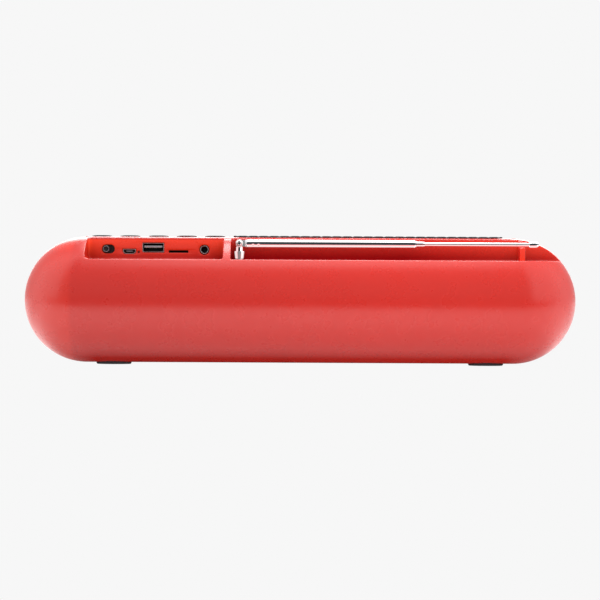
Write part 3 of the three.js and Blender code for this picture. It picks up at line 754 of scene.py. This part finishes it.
def hinge_screw(finish, slot_finish):
    front, back = reach("antenna_hinge_screw", "y")
    head = turned(rounded([
        (0, front, 0), (1.2, front + 0.06, 0.3), (1.75, front + 0.5, 0.2), (1.75, front + 1.3, 0),
        (0.8, front + 1.3, 0), (0.8, back, 0), (0, back, 0),
    ]), "y", (PIVOT[0], 0, PIVOT[2]), 48)
    screw = raw_object("antenna_screw", head)
    carve(screw, *crossed_bars(1.55, 0.28, front - 1, front + 0.45))
    publish(screw, finish, "antenna_hinge_screw", "antenna_post")
    # dark bars in the bottom of the cross slot: painted shade
    for k, bar in enumerate(crossed_bars(1.5, 0.27, front + 0.36, front + 0.46)):
        make(f"antenna_screw_slot_shade_{k + 1}", bar, slot_finish, body="antenna_post")


def knuckle(finish):
    y = middle("antenna_knuckle")[1]
    start = PIVOT[0]
    flat_end = prism(pill(2.0, 2.0)(0), y - 0.8, y + 0.8, "y", (start + 2, 0, PIVOT[2]))
    make_soft("antenna_tongue", flat_end, 0.2, 2, finish, "antenna_knuckle", "antenna_first")
    lathe("antenna_fitting", [
        (0, start + 3.5, 0), (2.2, start + 3.5, 0.3), (2.2, start + 4.3, 0.2), (1.7, start + 4.3, 0),
        (1.7, start + 6.5, 0), (0, start + 6.5, 0),
    ], "x", (0, y, PIVOT[2]), finish, "antenna_knuckle", "antenna_first")


def tube_profile(low, high, outer, inner):
    """A tube whose far end is rolled in towards the next section."""
    near = rounded([(inner, low, 0), (outer, low, 0.15), (outer, high - 0.9, 0)])
    far = rounded([
        (outer - 0.02, high - 0.8, 0.1), (outer - 0.1, high - 0.5, 0.1), (outer, high - 0.3, 0.1),
        (outer, high, 0.22), (inner + 0.06, high, 0.1), (inner + 0.06, high - 0.8, 0),
    ])
    return [tuple(p) for p in near + far] + [(inner, high - 1.0)]


TUBES = [
    # CAD node, its body, radius of its bore
    ("antenna_tube_1", "antenna_first", 2.0),
    ("antenna_tube_2", "antenna_second", 1.55),
    ("antenna_tube_3", "antenna_third", 1.15),
]


def antenna_tubes(finish):
    for node, body, inner in TUBES:
        low, high = span(node)
        start, outer = low[0], (high[2] - low[2]) / 2
        centre = middle(node, "x")
        profile = tube_profile(start, high[0], outer, inner)
        if node == "antenna_tube_1":
            plain_end = [(inner, start), (outer - 0.12, start), (outer, start + 0.12)]
            plain_end += [(outer, x) for x in np.linspace(start + 1.2, start + 10, 60)]
            profile = plain_end + profile[7:]
        vertices, faces = turned(profile, "x", centre, 72, closed=True)
        if node == "antenna_tube_1":
            vertices = crimped(vertices, centre, start, outer)
        make(node + "_chrome", (vertices, faces), finish, node, body, 50)


def crimped(vertices, centre, start, outer):
    """Presses two rows of small dents into the tube over its end fitting."""
    dent_depth, dent_radius = 0.28, 0.6
    moved = vertices.copy()
    radial = vertices[:, 1:] - centre[1:]
    distance = np.hypot(radial[:, 0], radial[:, 1])
    angle = np.arctan2(radial[:, 1], radial[:, 0])
    for offset in (3.7, 7.0):
        for at in np.radians([-150, -30, 90]):
            gap = np.angle(np.exp(1j * (angle - at))) * outer
            near = np.exp(-((vertices[:, 0] - start - offset) ** 2 + gap**2) / dent_radius**2)
            depth = np.where(distance > outer - 0.15, dent_depth * near, 0)
            moved[:, 1:] -= radial / distance[:, None] * depth[:, None]
    return moved


def rod_and_tip(finish, tip_finish):
    start, end = reach("antenna_rod", "x")
    centre = middle("antenna_rod", "x")
    lathe("antenna_rod_chrome", [
        (0, start, 0), (1.0, start, 0.15), (1.0, end, 0.15), (0, end, 0),
    ], "x", centre, finish, "antenna_rod", "antenna_end", 40)
    start, end = reach("antenna_tip", "x")
    lathe("antenna_tip_chrome", [
        (0, start + 1.7, 0), (1.2, start + 1.7, 0), (1.2, start, 0.1), (1.55, start, 0.1),
        (1.8, start + 0.4, 0.2), (1.8, end - 1.3, 0.8), (1.1, end, 0.7), (0, end, 0),
    ], "x", centre, tip_finish, "antenna_tip", "antenna_end", 48, 6)


# ---------------- sockets


def switch_knob(finish, highlight_finish):
    low, high = span("power_slider")
    front, back = low[1], high[1]
    centre = (KNOB_X, 0, (low[2] + high[2]) / 2)
    knob = turned(rounded([
        (0, front + 0.45, 0), (1.35, front + 0.35, 0.2), (1.6, front, 0.12), (1.95, front, 0.15),
        (2.25, front + 0.5, 0.15), (2.25, back - 0.7, 0), (0, back - 0.7, 0),
    ]), "y", centre)
    plate = box_part((low[0], back - 0.8, low[2]), (high[0], back, high[2]))
    make("power_knob_cap", combine(knob, plate), finish, "power_slider", "power_knob")
    # a thin pale ring round the knob's face: painted highlight
    inner, outer, top, bottom = 1.62, 1.82, front - 0.02, front + 0.3
    edge = [(inner, top), (outer, top), (outer, bottom), (inner, bottom)]
    rim = turned(edge, "y", centre, closed=True)
    make("power_knob_highlight_ring", rim, highlight_finish, body="power_knob")


def cup(outline, front, back, wall, depth, centre):
    """An open-fronted shell along Y."""
    layers = rounded([(0, back, 0), (0, front, 0.12), (wall, front, 0.1), (wall, depth, 0)], 3)
    return stack(outline, [tuple(p) for p in layers], "y", centre)


def lined_shell(name, outline, shade_outline, node, wall, finish, dark):
    """A folded metal shell with a dark sheet that starts just inside its lip: painted shade in its hollow.
    """
    front, back = reach(node, "y")
    centre = middle(node, "y")
    make(name + "_shell", cup(outline, front, back, wall, back - 0.4, centre), finish, node)
    make(name + "_painted_shade_sheet", cup(shade_outline, front + 0.25, back - 0.1, 0.1, back - 0.5, centre), dark)


def usb_blade(finish, contact):
    low, high = span("usb_tongue")
    body = box_part((low[0], low[1], low[2] - 0.2), (high[0], high[1], low[2] + 1.0))
    make_soft("usb_blade", body, 0.12, 2, finish, "usb_tongue")
    for k in range(4):
        x = (low[0] + high[0]) / 2 + (k - 1.5) * 2.5
        strip = box_part((x - 0.5, low[1] + 0.4, low[2] - 0.32), (x + 0.5, high[1], low[2] - 0.18))
        make(f"usb_contact_{k + 1}", strip, contact)


def card_shell(finish):
    low, high = span("card_socket")
    x = (low[0] + high[0]) / 2
    shell = raw_object("card_shell", box_part(low, high))
    below, above = CARD_SLOT_Z - 0.45, CARD_SLOT_Z + 0.45
    carve(shell, box_part((x - 5.7, low[1] - 1, below), (x + 5.7, high[1] - 1, above)))
    publish(shell, finish, "card_socket")


def audio_jack(finish, collar_finish):
    front, back = reach("aux_jack_ferrule", "y")
    centre = middle("aux_jack_ferrule", "y")
    rings = [
        ("aux_jack_collar", collar_finish, 2.5, 2.85, front + 1.2, 0.1),
        ("aux_jack_ring", finish, 2.15, 2.5, front, 0.15),
    ]
    for name, its_finish, inner, outer, face, fillet in rings:
        corners = [(inner, back, 0), (inner, face, fillet), (outer, face, fillet), (outer, back, 0)]
        lathe(name, corners, "y", centre, its_finish, "aux_jack_ferrule", closed=True)


def sockets(tin, dark, pale, contact):
    micro, micro_inside = micro_outline(7.7, 2.9), micro_outline(7.1, 2.3)
    lined_shell("micro_usb", micro, micro_inside, "micro_usb_socket", 0.3, tin, dark)
    usb, usb_inside = rounded_box(13, 5.6, 0.4), rounded_box(12.5, 5.1, 0.3)
    lined_shell("usb", usb, usb_inside, "usb_socket", 0.25, tin, dark)
    low, high = span("micro_usb_tongue")
    blade = box_part((low[0], low[1], low[2] - 0.1), (high[0], high[1], low[2] + 0.3))
    make("micro_usb_blade", blade, pale, "micro_usb_tongue")
    usb_blade(pale, contact)
    card_shell(dark)
    audio_jack(tin, dark)


# ---------------- materials


class Shader:
    """A node tree under construction."""

    def __init__(self, tree):
        self.tree = tree

    def node(self, kind, inputs=None, **settings):
        made = self.tree.nodes.new(kind)
        for key, value in settings.items():
            setattr(made, key, value)
        for key, value in (inputs or {}).items():
            self.feed(made.inputs[key], value)
        return made

    def feed(self, socket, value):
        if isinstance(value, bpy.types.NodeSocket):
            self.tree.links.new(value, socket)
        else:
            socket.default_value = value

    def split(self, vector):
        return self.node("ShaderNodeSeparateXYZ", {0: vector}).outputs

    def math(self, operation, a, b=0.0):
        return self.node("ShaderNodeMath", {0: a, 1: b}, operation=operation).outputs[0]

    def vector(self, operation, a, b=(0, 0, 0)):
        return self.node("ShaderNodeVectorMath", {0: a, 1: b}, operation=operation).outputs

    def product(self, *factors):
        total = factors[0]
        for factor in factors[1:]:
            total = self.math("MULTIPLY", total, factor)
        return total

    def without(self, share):
        """What a share leaves of 1."""
        return self.math("SUBTRACT", 1.0, share)

    def ramp(self, value, low, high, from_low=0.3, from_high=0.7, **settings):
        return self.node("ShaderNodeMapRange", {
            "Value": value, "From Min": from_low, "From Max": from_high, "To Min": low, "To Max": high,
        }, **settings).outputs[0]

    def over(self, place, start_mm, end_mm, low=0.0, high=1.0):
        """Goes from low to high while a coordinate goes from start to end."""
        return self.ramp(place, low, high, start_mm * MM, end_mm * MM)

    def blend(self, share, first, second):
        """Goes from one number to another."""
        return self.node("ShaderNodeMix", {0: share, 2: first, 3: second}, data_type="FLOAT").outputs[0]

    def mix(self, share, first, second):
        """Goes from one colour to another."""
        return self.node("ShaderNodeMix", {0: share, 6: first, 7: second}, data_type="RGBA").outputs[2]

    def show(self, light, seen, output):
        """Gives the camera one shader and all other rays another."""
        is_camera = self.node("ShaderNodeLightPath").outputs["Is Camera Ray"]
        both = self.node("ShaderNodeMixShader", {0: is_camera, 1: light.outputs[0], 2: seen.outputs[0]})
        self.feed(output.inputs[0], both.outputs[0])


class Paint(Shader):
    """A principled material under construction."""

    def __init__(self, name, slot):
        self.material = bpy.data.materials.new(name)
        self.material["slot"] = slot
        self.material.use_nodes = True
        super().__init__(self.material.node_tree)
        self.surface = self.tree.nodes["Principled BSDF"]
        self.place = self.node("ShaderNodeTexCoord").outputs["Object"]

    def set(self, **inputs):
        for key, value in inputs.items():
            self.feed(self.surface.inputs[key.replace("_", " ")], value)

    def noise(self, scale, detail=3, stretch=(1, 1, 1), roughness=0.5):
        where = self.node("ShaderNodeMapping", {"Vector": self.place, "Scale": stretch}).outputs[0]
        made = self.node("ShaderNodeTexNoise", {
            "Vector": where, "Scale": scale, "Detail": detail, "Roughness": roughness,
        })
        return made.outputs["Fac"]

    def bump(self, height, depth_mm):
        inputs = {"Height": height, "Distance": depth_mm * MM, "Strength": 1.0}
        return self.node("ShaderNodeBump", inputs).outputs[0]


def rgb(red, green, blue):
    return (red, green, blue, 1.0)


def grey(level):
    return rgb(level, level, level)


def moulded(name, slot, colour, roughness, grain_mm=0.45, depth_mm=0.01):
    """Moulded plastic: slight mottling, uneven sheen and a fine textured skin."""
    paint = Paint(name, slot)
    cloud = paint.noise(60, 4)
    darker = rgb(*(c * 0.97 for c in colour[:3]))
    paint.colour = paint.mix(paint.ramp(cloud, 0, 1), colour, darker)
    sheen = paint.ramp(paint.noise(120), roughness - 0.02, roughness + 0.02)
    grain = paint.noise(1000 / grain_mm, 2)
    paint.set(Base_Color=paint.colour, Roughness=sheen, Normal=paint.bump(grain, depth_mm))
    return paint


RED = rgb(0.62, 0.0175, 0.0095)
# painted shade: a dimmer red towards the left end, and a deep red in corners and under the antenna
LEFT_END_SHADE_RED = rgb(0.5, 0.015, 0.009)
SHADE_RED = rgb(0.25, 0.0005, 0.004)
# painted glow of the red plastic, standing for light seeping through thin edges; strengths for the shell
# and the clip
PAINTED_GLOW_COLOUR = rgb(1.0, 0.075, 0.02)
SHELL_PAINTED_GLOW = 0.4
CLIP_PAINTED_GLOW = 0.3


def openness(paint, reach_mm, closed_at, open_at):
    """How freely light reaches a place, from 0 in a deep corner to 1 on an open surface."""
    seen = paint.node("ShaderNodeAmbientOcclusion", {"Distance": reach_mm * MM},
                      samples=12, only_local=True).outputs["AO"]
    return paint.ramp(seen, 0.0, 1.0, closed_at, open_at)


def shade_of_antenna(paint, x):
    """1 in the port recess, less in the channel, where the thick end of the antenna shades it."""
    in_recess = paint.over(x, CHANNEL_START_X - 3, CHANNEL_START_X - 1, 1.0, 0.0)
    along = paint.over(x, 0.5 * HALF_STRAIGHT, 1.05 * HALF_STRAIGHT, 0.12, 0.85)
    return paint.math("MAXIMUM", in_recess, along)


def inside_notches(paint, y, z):
    """1 inside the notches, 0 on the outer surface, told by the distance from the middle line."""
    squares = paint.math("ADD", paint.product(y, y), paint.product(z, z))
    return paint.over(paint.math("SQRT", squares), 37.3, 37.9, 1.0, 0.0)


def redden(paint, x, freedom):
    """Sets the red surface with painted shade: dimmer towards the left end, deeper and duller where light
    reaches it less freely.
    """
    surface = paint.mix(paint.over(x, -120, 50), LEFT_END_SHADE_RED, paint.colour)
    paint.set(Base_Color=paint.mix(freedom, SHADE_RED, surface))
    paint.set(Specular_IOR_Level=paint.product(freedom, freedom, 0.5))


def shell_plastic():
    """Red plastic with painted shade deeper in the notches and under the antenna, and a painted glow under
    the thin edges above them, standing for light seeping through.
    """
    paint = moulded("red_plastic", "red_plastic", RED, 0.28)
    x, y, z = paint.split(paint.place)
    shade, inside = shade_of_antenna(paint, x), inside_notches(paint, y, z)
    # masks of painted shade on the low part of the channel wall, under the antenna rod
    low_down, by_the_wall = paint.over(z, 24.5, 34, 1.0, 0.0), paint.over(y, -16, -9)
    under_rod = paint.product(paint.without(shade), inside, low_down, by_the_wall)
    redden(paint, x, paint.product(openness(paint, 22, 0.25, 0.75), paint.without(under_rod)))
    # painted glow on the upper notch walls and at the left end below the strip
    upper_part, on_the_wall = paint.over(z, 25, 36.5, 0.0, SHELL_PAINTED_GLOW), paint.over(y, -9.8, -8.4)
    wall_painted_glow = paint.product(upper_part, shade, inside, on_the_wall)
    side_wall = paint.product(paint.over(x, -128, -126.2, 0.2, 0.0), paint.over(z, 28, 36))
    left_end = paint.math("ADD", side_wall, paint.over(x, -118, -104, 0.07, 0.0))
    below_the_strip = paint.over(z, 36.8, 37.4, 1.0, 0.0)
    end_painted_glow = paint.product(left_end, inside, below_the_strip)
    paint.set(Emission_Color=PAINTED_GLOW_COLOUR, Emission_Strength=paint.math("ADD", wall_painted_glow, end_painted_glow))
    return paint.material


def clip_plastic():
    """The same plastic for the clip, with painted shade in its corners and a painted glow on its side
    towards the camera.
    """
    paint = moulded("clip_plastic", "red_plastic", RED, 0.28)
    redden(paint, paint.split(paint.place)[0], openness(paint, 22, 0.25, 0.75))
    towards_rear = paint.split(paint.node("ShaderNodeNewGeometry").outputs["Normal"])[1]
    clip_painted_glow = paint.ramp(towards_rear, CLIP_PAINTED_GLOW, 0.0, -0.9, -0.5)
    paint.set(Emission_Color=PAINTED_GLOW_COLOUR, Emission_Strength=clip_painted_glow)
    return paint.material


def dull_at_grazing(paint, level):
    """Keeps a dark piece dark where it is seen almost edge-on."""
    facing = paint.node("ShaderNodeLayerWeight", {"Blend": 0.5}).outputs["Facing"]
    paint.set(Specular_IOR_Level=paint.ramp(facing, level, 0.0, 0.5, 0.78))


def soft_dark(name, colour, roughness, level, *skin):
    """Dark moulded plastic or rubber that doesn't brighten towards its edges."""
    paint = moulded(name, name, colour, roughness, *skin)
    dull_at_grazing(paint, level)
    return paint.material


def plated(name, slot, colour, roughness, stretch):
    """Bright plated metal with faint polishing lines and handling marks."""
    paint = Paint(name, slot)
    lines = paint.noise(900, 4, stretch, 0.65)
    marks = paint.noise(180)
    spread = paint.product(paint.ramp(lines, 0.6, 1.4), paint.ramp(marks, 0.7, 1.3), roughness)
    paint.set(Base_Color=colour, Metallic=1.0, Roughness=spread, Normal=paint.bump(lines, 0.002))
    return paint


def turned_away(paint, axis):
    """How far a round surface is turned from the viewer about its own axis, from 0 to 1."""
    across = tuple(0.0 if name == axis else 1.0 for name in "xyz")
    geometry = paint.node("ShaderNodeNewGeometry").outputs
    flat = []
    for value, kind in ((geometry["Normal"], "NORMAL"), (geometry["Incoming"], "VECTOR")):
        local = paint.node("ShaderNodeVectorTransform", {0: value}, vector_type=kind,
                           convert_from="WORLD", convert_to="OBJECT").outputs[0]
        flat.append(paint.vector("NORMALIZE", paint.vector("MULTIPLY", local, across)[0])[0])
    facing = paint.vector("DOT_PRODUCT", *flat)["Value"]
    return paint.without(paint.math("ABSOLUTE", facing))


def painted_tent_plating(name, axis, stripe, edge, glow, roughness, stretch):
    """Plating with a painted reflection of a pale tent: a dim stripe along its middle, a painted white glow
    beside it, grey at its very edge.

    Seen exactly head-on, as a texture baker sees every face, the plating has no stripe.
    """
    paint = plated(name, "antenna_chrome", edge, roughness, stretch)
    away = turned_away(paint, axis)
    head_on = paint.math("LESS_THAN", away, 2e-5)
    beside = paint.math("MAXIMUM", paint.ramp(away, 0.0, 1.0, 0.03, 0.1), head_on)
    middle_tone = paint.mix(beside, rgb(0.08, 0.1, 0.11), edge)
    rim = paint.ramp(away, 0.0, 1.0, 0.72, 0.92)
    # painted white glow beside the stripe, following the viewer
    light = paint.product(paint.ramp(away, stripe, glow, 0.05, 0.13), paint.without(rim))
    paint.set(Base_Color=paint.mix(rim, middle_tone, rgb(0.3, 0.28, 0.28)))
    paint.set(Emission_Color=grey(1), Emission_Strength=light)
    return paint.material


def chrome(name, axis):
    return painted_tent_plating(name, axis, 0.0, rgb(0.95, 0.95, 0.96), 0.75, 0.09, (0.05, 1, 1))


def bright_nickel(name, axis):
    return painted_tent_plating(name, axis, 0.2, rgb(0.85, 0.86, 0.87), 0.7, 0.12, (1, 1, 0.05))


def speckled(name, slot, texture, dark, pale, roughness, depth_mm):
    """A rough surface whose grains, from (scale, detail, roughness), change its tone and height."""
    paint = Paint(name, slot)
    scale, detail, grain_roughness = texture
    grains = paint.noise(scale, detail, roughness=grain_roughness)
    paint.set(Base_Color=paint.mix(paint.ramp(grains, 0, 1), dark, pale))
    paint.set(Roughness=roughness, Normal=paint.bump(grains, depth_mm))
    return paint


def powder_coat():
    dark, pale = rgb(0.012, 0.012, 0.013), rgb(0.02, 0.02, 0.021)
    paint = speckled("grille_powder_coat", "grille_steel", (1600, 2, 0.5), dark, pale, 0.5, 0.02)
    paint.set(Roughness=paint.ramp(paint.noise(300), 0.42, 0.55))
    return paint.material


def ferrite():
    dark, pale = rgb(0.03, 0.03, 0.032), rgb(0.07, 0.07, 0.075)
    return speckled("ferrite", "magnet", (2500, 4, 0.7), dark, pale, 0.65, 0.03).material


def cone_paper():
    dark, pale = rgb(0.012, 0.012, 0.013), rgb(0.03, 0.03, 0.032)
    return speckled("cone_paper", "cone_paper", (1400, 5, 0.7), dark, pale, 0.85, 0.05).material


def painted_steel():
    paint = moulded("driver_paint", "driver_steel", rgb(0.03, 0.03, 0.032), 0.3, 0.8, 0.01)
    paint.set(Metallic=0.6)
    return paint.material


def circuit_board():
    """Green solder resist over copper traces."""
    paint = Paint("circuit_board", "circuit_board")
    traces = paint.node("ShaderNodeTexBrick", {
        "Vector": paint.place, "Scale": 260.0, "Mortar Size": 0.06, "Brick Width": 0.9, "Row Height": 0.35,
    }).outputs["Fac"]
    paint.set(Base_Color=paint.mix(traces, rgb(0.012, 0.1, 0.035), rgb(0.03, 0.2, 0.07)))
    paint.set(Roughness=0.35, Normal=paint.bump(traces, 0.03))
    return paint.material


# ---------------- studio

# strengths of the backdrop as the camera sees it, and of the tent's parts
BACKDROP = 0.93
CONTACT_SHADOW = 0.45
TENT = 2.1
LEFT_SHARE = 0.86
RIGHT_SHARE = 0.8
BEHIND = 0.7
LOW_BEHIND = 5.0
# the window on the camera side: strengths for sharp and for diffuse light, angles in degrees
WINDOW = 0.35
WINDOW_DIFFUSE = 1.2
WINDOW_AZIMUTH = (-50, 32)
WINDOW_SOFTNESS = 4
# the table: where its lit part begins, its strengths, and what diffuse light gets of it
TABLE_FRONT_Y = -185
TABLE_GLOW = 0.85
UNDER_GLOW = 0.9
DIFFUSE_TABLE_SHARE = 0.35
DIFFUSE_PAPER_SHARE = 0.5

LAMPS = [
    # name, place, aim, size, power
    ("top_back", (0.05, 0.3, 0.8), (0.05, 0, 0), (0.5, 0.4), 4),
    ("softbox", (0.015, -0.085, 0.7), (0.015, -0.085, 0), (0.39, 0.57), 1.3),
]

CAMERA_PLACE = (-0.00006, -1.2, 0.00022)
CAMERA_ROLL = math.radians(0.286)
FOCAL_PIXELS = 1955
FRAME_PIXELS = 600


def add(name, data):
    """Puts new data into the scene as an object."""
    thing = bpy.data.objects.new(name, data)
    bpy.context.scene.collection.objects.link(thing)
    return thing


def studio_world():
    """A bright tent of light with a dim window on the camera side."""
    world = bpy.data.worlds.new("studio")
    bpy.context.scene.world = world
    world.use_nodes = True
    sky = Shader(world.node_tree)
    sky.tree.nodes.clear()

    def fade(angle, start, end):
        """A smooth step from 0 to 1 between two angles in degrees."""
        return sky.ramp(angle, 0.0, 1.0, math.radians(start), math.radians(end),
                        interpolation_type="SMOOTHSTEP")

    x, y, z = sky.split(sky.node("ShaderNodeTexCoord").outputs["Generated"])
    azimuth = sky.math("ARCTAN2", x, sky.product(y, -1.0))
    sideways = sky.math("ABSOLUTE", azimuth)
    height = sky.math("ARCSINE", z)
    (left, right), soft = WINDOW_AZIMUTH, WINDOW_SOFTNESS
    window = sky.product(fade(azimuth, left - soft, left + soft), fade(azimuth, right + soft, right - soft))
    sides = sky.blend(fade(azimuth, -60, -30), TENT * LEFT_SHARE, TENT)
    sides = sky.blend(fade(azimuth, 25, 50), sides, TENT * RIGHT_SHARE)
    low_down = sky.product(fade(height, 0, 4), fade(height, 40, 30), fade(sideways, 160, 170))
    around = sky.blend(fade(sideways, 95, 135), sides, sky.blend(low_down, BEHIND, LOW_BEHIND))
    is_diffuse = sky.node("ShaderNodeLightPath").outputs["Is Diffuse Ray"]
    strength = sky.blend(window, around, sky.blend(is_diffuse, WINDOW, WINDOW_DIFFUSE))
    light = sky.node("ShaderNodeBackground", {"Color": grey(1), "Strength": strength})
    seen = sky.node("ShaderNodeBackground", {"Color": grey(1), "Strength": BACKDROP})
    sky.show(light, seen, sky.node("ShaderNodeOutputWorld"))


def floor_paper():
    """Paper that lights the part from below, with painted shade under and behind the part; the camera sees
    the backdrop's tone with a painted contact shadow.
    """
    paint = Paint("floor_paper", "floor")
    x, y, _ = paint.split(paint.place)
    near = paint.over(y, TABLE_FRONT_Y - 25, TABLE_FRONT_Y + 25)
    # painted shadow under and just behind the part, dark to reflected rays
    beyond = paint.product(paint.over(y, -23, -11), paint.over(y, 40, 90, 1.0, 0.0),
                           paint.over(paint.math("ABSOLUTE", x), 125, 165, 1.0, 0.0))
    paper = paint.mix(near, grey(0.15), grey(0.85))
    # painted shade on the paper behind the part
    paper = paint.mix(paint.over(y, 0, 60), paper, grey(0.35))
    paper = paint.mix(beyond, paper, grey(0.03))
    is_diffuse = paint.node("ShaderNodeLightPath").outputs["Is Diffuse Ray"]
    dimmed = paint.mix(is_diffuse, paper, grey(0))
    paint.set(Base_Color=paint.mix(DIFFUSE_PAPER_SHARE, dimmed, paper))
    paint.set(Roughness=1.0, Specular_IOR_Level=0.0)
    lit = paint.product(paint.math("SUBTRACT", near, beyond), TABLE_GLOW)
    under = paint.product(beyond, UNDER_GLOW)
    soft = paint.math("ADD", paint.product(lit, DIFFUSE_TABLE_SHARE), under)
    paint.set(Emission_Color=grey(1), Emission_Strength=paint.blend(is_diffuse, lit, soft))
    facing = paint.node("ShaderNodeLayerWeight").outputs["Facing"]
    steep = paint.ramp(paint.without(facing), 0.0, 1.0, 0.1, 0.4)
    hidden = paint.without(paint.node("ShaderNodeAmbientOcclusion", {"Distance": 0.06}).outputs["AO"])
    shown = paint.math("SUBTRACT", BACKDROP, paint.product(hidden, steep, CONTACT_SHADOW))
    seen = paint.node("ShaderNodeEmission", {"Color": grey(1), "Strength": shown})
    paint.show(paint.surface, seen, paint.tree.nodes["Material Output"])
    return paint.material


def floor():
    low, _ = cad_box
    half = 30.0
    corners = [(x, y, low.z) for x, y in ((-half, -half), (half, -half), (half, half), (-half, half))]
    mesh = bpy.data.meshes.new("floor")
    mesh.from_pydata(corners, [], [(0, 1, 2, 3)])
    mesh.materials.append(floor_paper())
    add("floor", mesh)


def lamps():
    for name, place, aim, size, power in LAMPS:
        data = bpy.data.lights.new(name, "AREA")
        data.shape = "RECTANGLE"
        data.size, data.size_y = size
        data.energy = power
        lamp = add(name, data)
        lamp.location = place
        lamp.rotation_euler = (Vector(aim) - Vector(place)).to_track_quat("-Z", "Y").to_euler()
        lamp.visible_camera = False


def camera():
    data = bpy.data.cameras.new("camera")
    data.sensor_width = 36
    data.lens = FOCAL_PIXELS * data.sensor_width / FRAME_PIXELS
    eye = add("camera", data)
    eye.location = CAMERA_PLACE
    eye.rotation_euler = (math.pi / 2, -CAMERA_ROLL, 0)
    bpy.context.scene.camera = eye


# ---------------- everything


def dress(node, finish):
    """Gives a carried-over CAD node its finish and smooth shading."""
    mesh = frame["nodes"][node].data
    mesh.materials.clear()
    mesh.materials.append(finish)
    mesh.polygons.foreach_set("use_smooth", [True] * len(mesh.polygons))
    mesh.set_sharp_from_angle(angle=math.radians(35))


MOULDED = {
    # finish: slot, colour, roughness, grain and its depth in mm
    "black_plastic": ("black_plastic", rgb(0.012, 0.012, 0.013), 0.4, 0.45, 0.01),
    # pale plastic of the socket blades, also the painted highlight ring on the knob
    "pale_plastic_and_highlight": ("black_plastic", rgb(0.28, 0.3, 0.33), 0.4, 0.45, 0.01),
    "cell_wrap": ("cell_wrap", rgb(0.03, 0.13, 0.4), 0.25, 3.0, 0.02),
    "led_lens": ("led_lens", rgb(0.12, 0.01, 0.01), 0.2, 0.45, 0.01),
    "red_wire": ("red_wire", rgb(0.4, 0.01, 0.01), 0.35, 1.5, 0.01),
    "black_wire": ("black_wire", rgb(0.012, 0.012, 0.012), 0.35, 1.5, 0.01),
}
PLATED = {
    # finish: slot, colour, roughness, stretch of its polishing lines
    "satin_nickel": ("antenna_chrome", rgb(0.95, 0.95, 0.94), 0.42, (1, 1, 1)),
    "socket_tin": ("socket_steel", rgb(0.6, 0.6, 0.62), 0.42, (1, 0.05, 1)),
    "contact_plate": ("socket_steel", rgb(0.8, 0.62, 0.3), 0.25, (1, 0.05, 1)),
    "zinc_steel": ("plain_steel", rgb(0.6, 0.6, 0.62), 0.32, (1, 1, 0.1)),
}


def make_finishes():
    """Every finish by its name."""
    finishes = {name: moulded(name, *look).material for name, look in MOULDED.items()}
    finishes.update({name: plated(name, *look).material for name, look in PLATED.items()})
    specials = [
        shell_plastic(), clip_plastic(),
        soft_dark("button_plastic", rgb(0.03, 0.025, 0.03), 0.45, 0.4),
        soft_dark("rubber", rgb(0.035, 0.028, 0.032), 0.62, 0.3, 0.6, 0.03),
        chrome("antenna_chrome", "x"), chrome("neck_chrome", "z"),
        bright_nickel("upright_nickel", "z"), bright_nickel("rod_nickel", "x"),
        powder_coat(), ferrite(), cone_paper(), painted_steel(), circuit_board(),
    ]
    finishes.update({look.name.split(".")[0]: look for look in specials})
    return finishes


def build():
    look = make_finishes()
    red, black, tin = look["red_plastic"], look["black_plastic"], look["socket_tin"]
    rear_shell(red, look["clip_plastic"])
    control_strip(red)
    bezel(red)
    grille(look["grille_powder_coat"])
    push_buttons(look["button_plastic"])
    phone_rest(look["rubber"])
    feet(look["rubber"])
    post_parts(look["upright_nickel"], look["satin_nickel"], look["neck_chrome"])
    hinge_screw(look["satin_nickel"], black)
    knuckle(look["upright_nickel"])
    antenna_tubes(look["antenna_chrome"])
    rod_and_tip(look["rod_nickel"], look["antenna_chrome"])
    switch_knob(black, look["pale_plastic_and_highlight"])
    sockets(tin, black, look["pale_plastic_and_highlight"], look["contact_plate"])
    look |= {"plain_steel": look["zinc_steel"], "socket_steel": tin}
    look |= {"driver_steel": look["driver_paint"], "magnet": look["ferrite"]}
    for entry in frame["record"]["subparts"]:
        if not frame["nodes"][entry["node"]].hide_render:
            dress(entry["node"], look[entry["material_slot"]])


build()
studio_world()
floor()
lamps()
camera()
bpy.context.scene.view_settings.view_transform = "Standard"
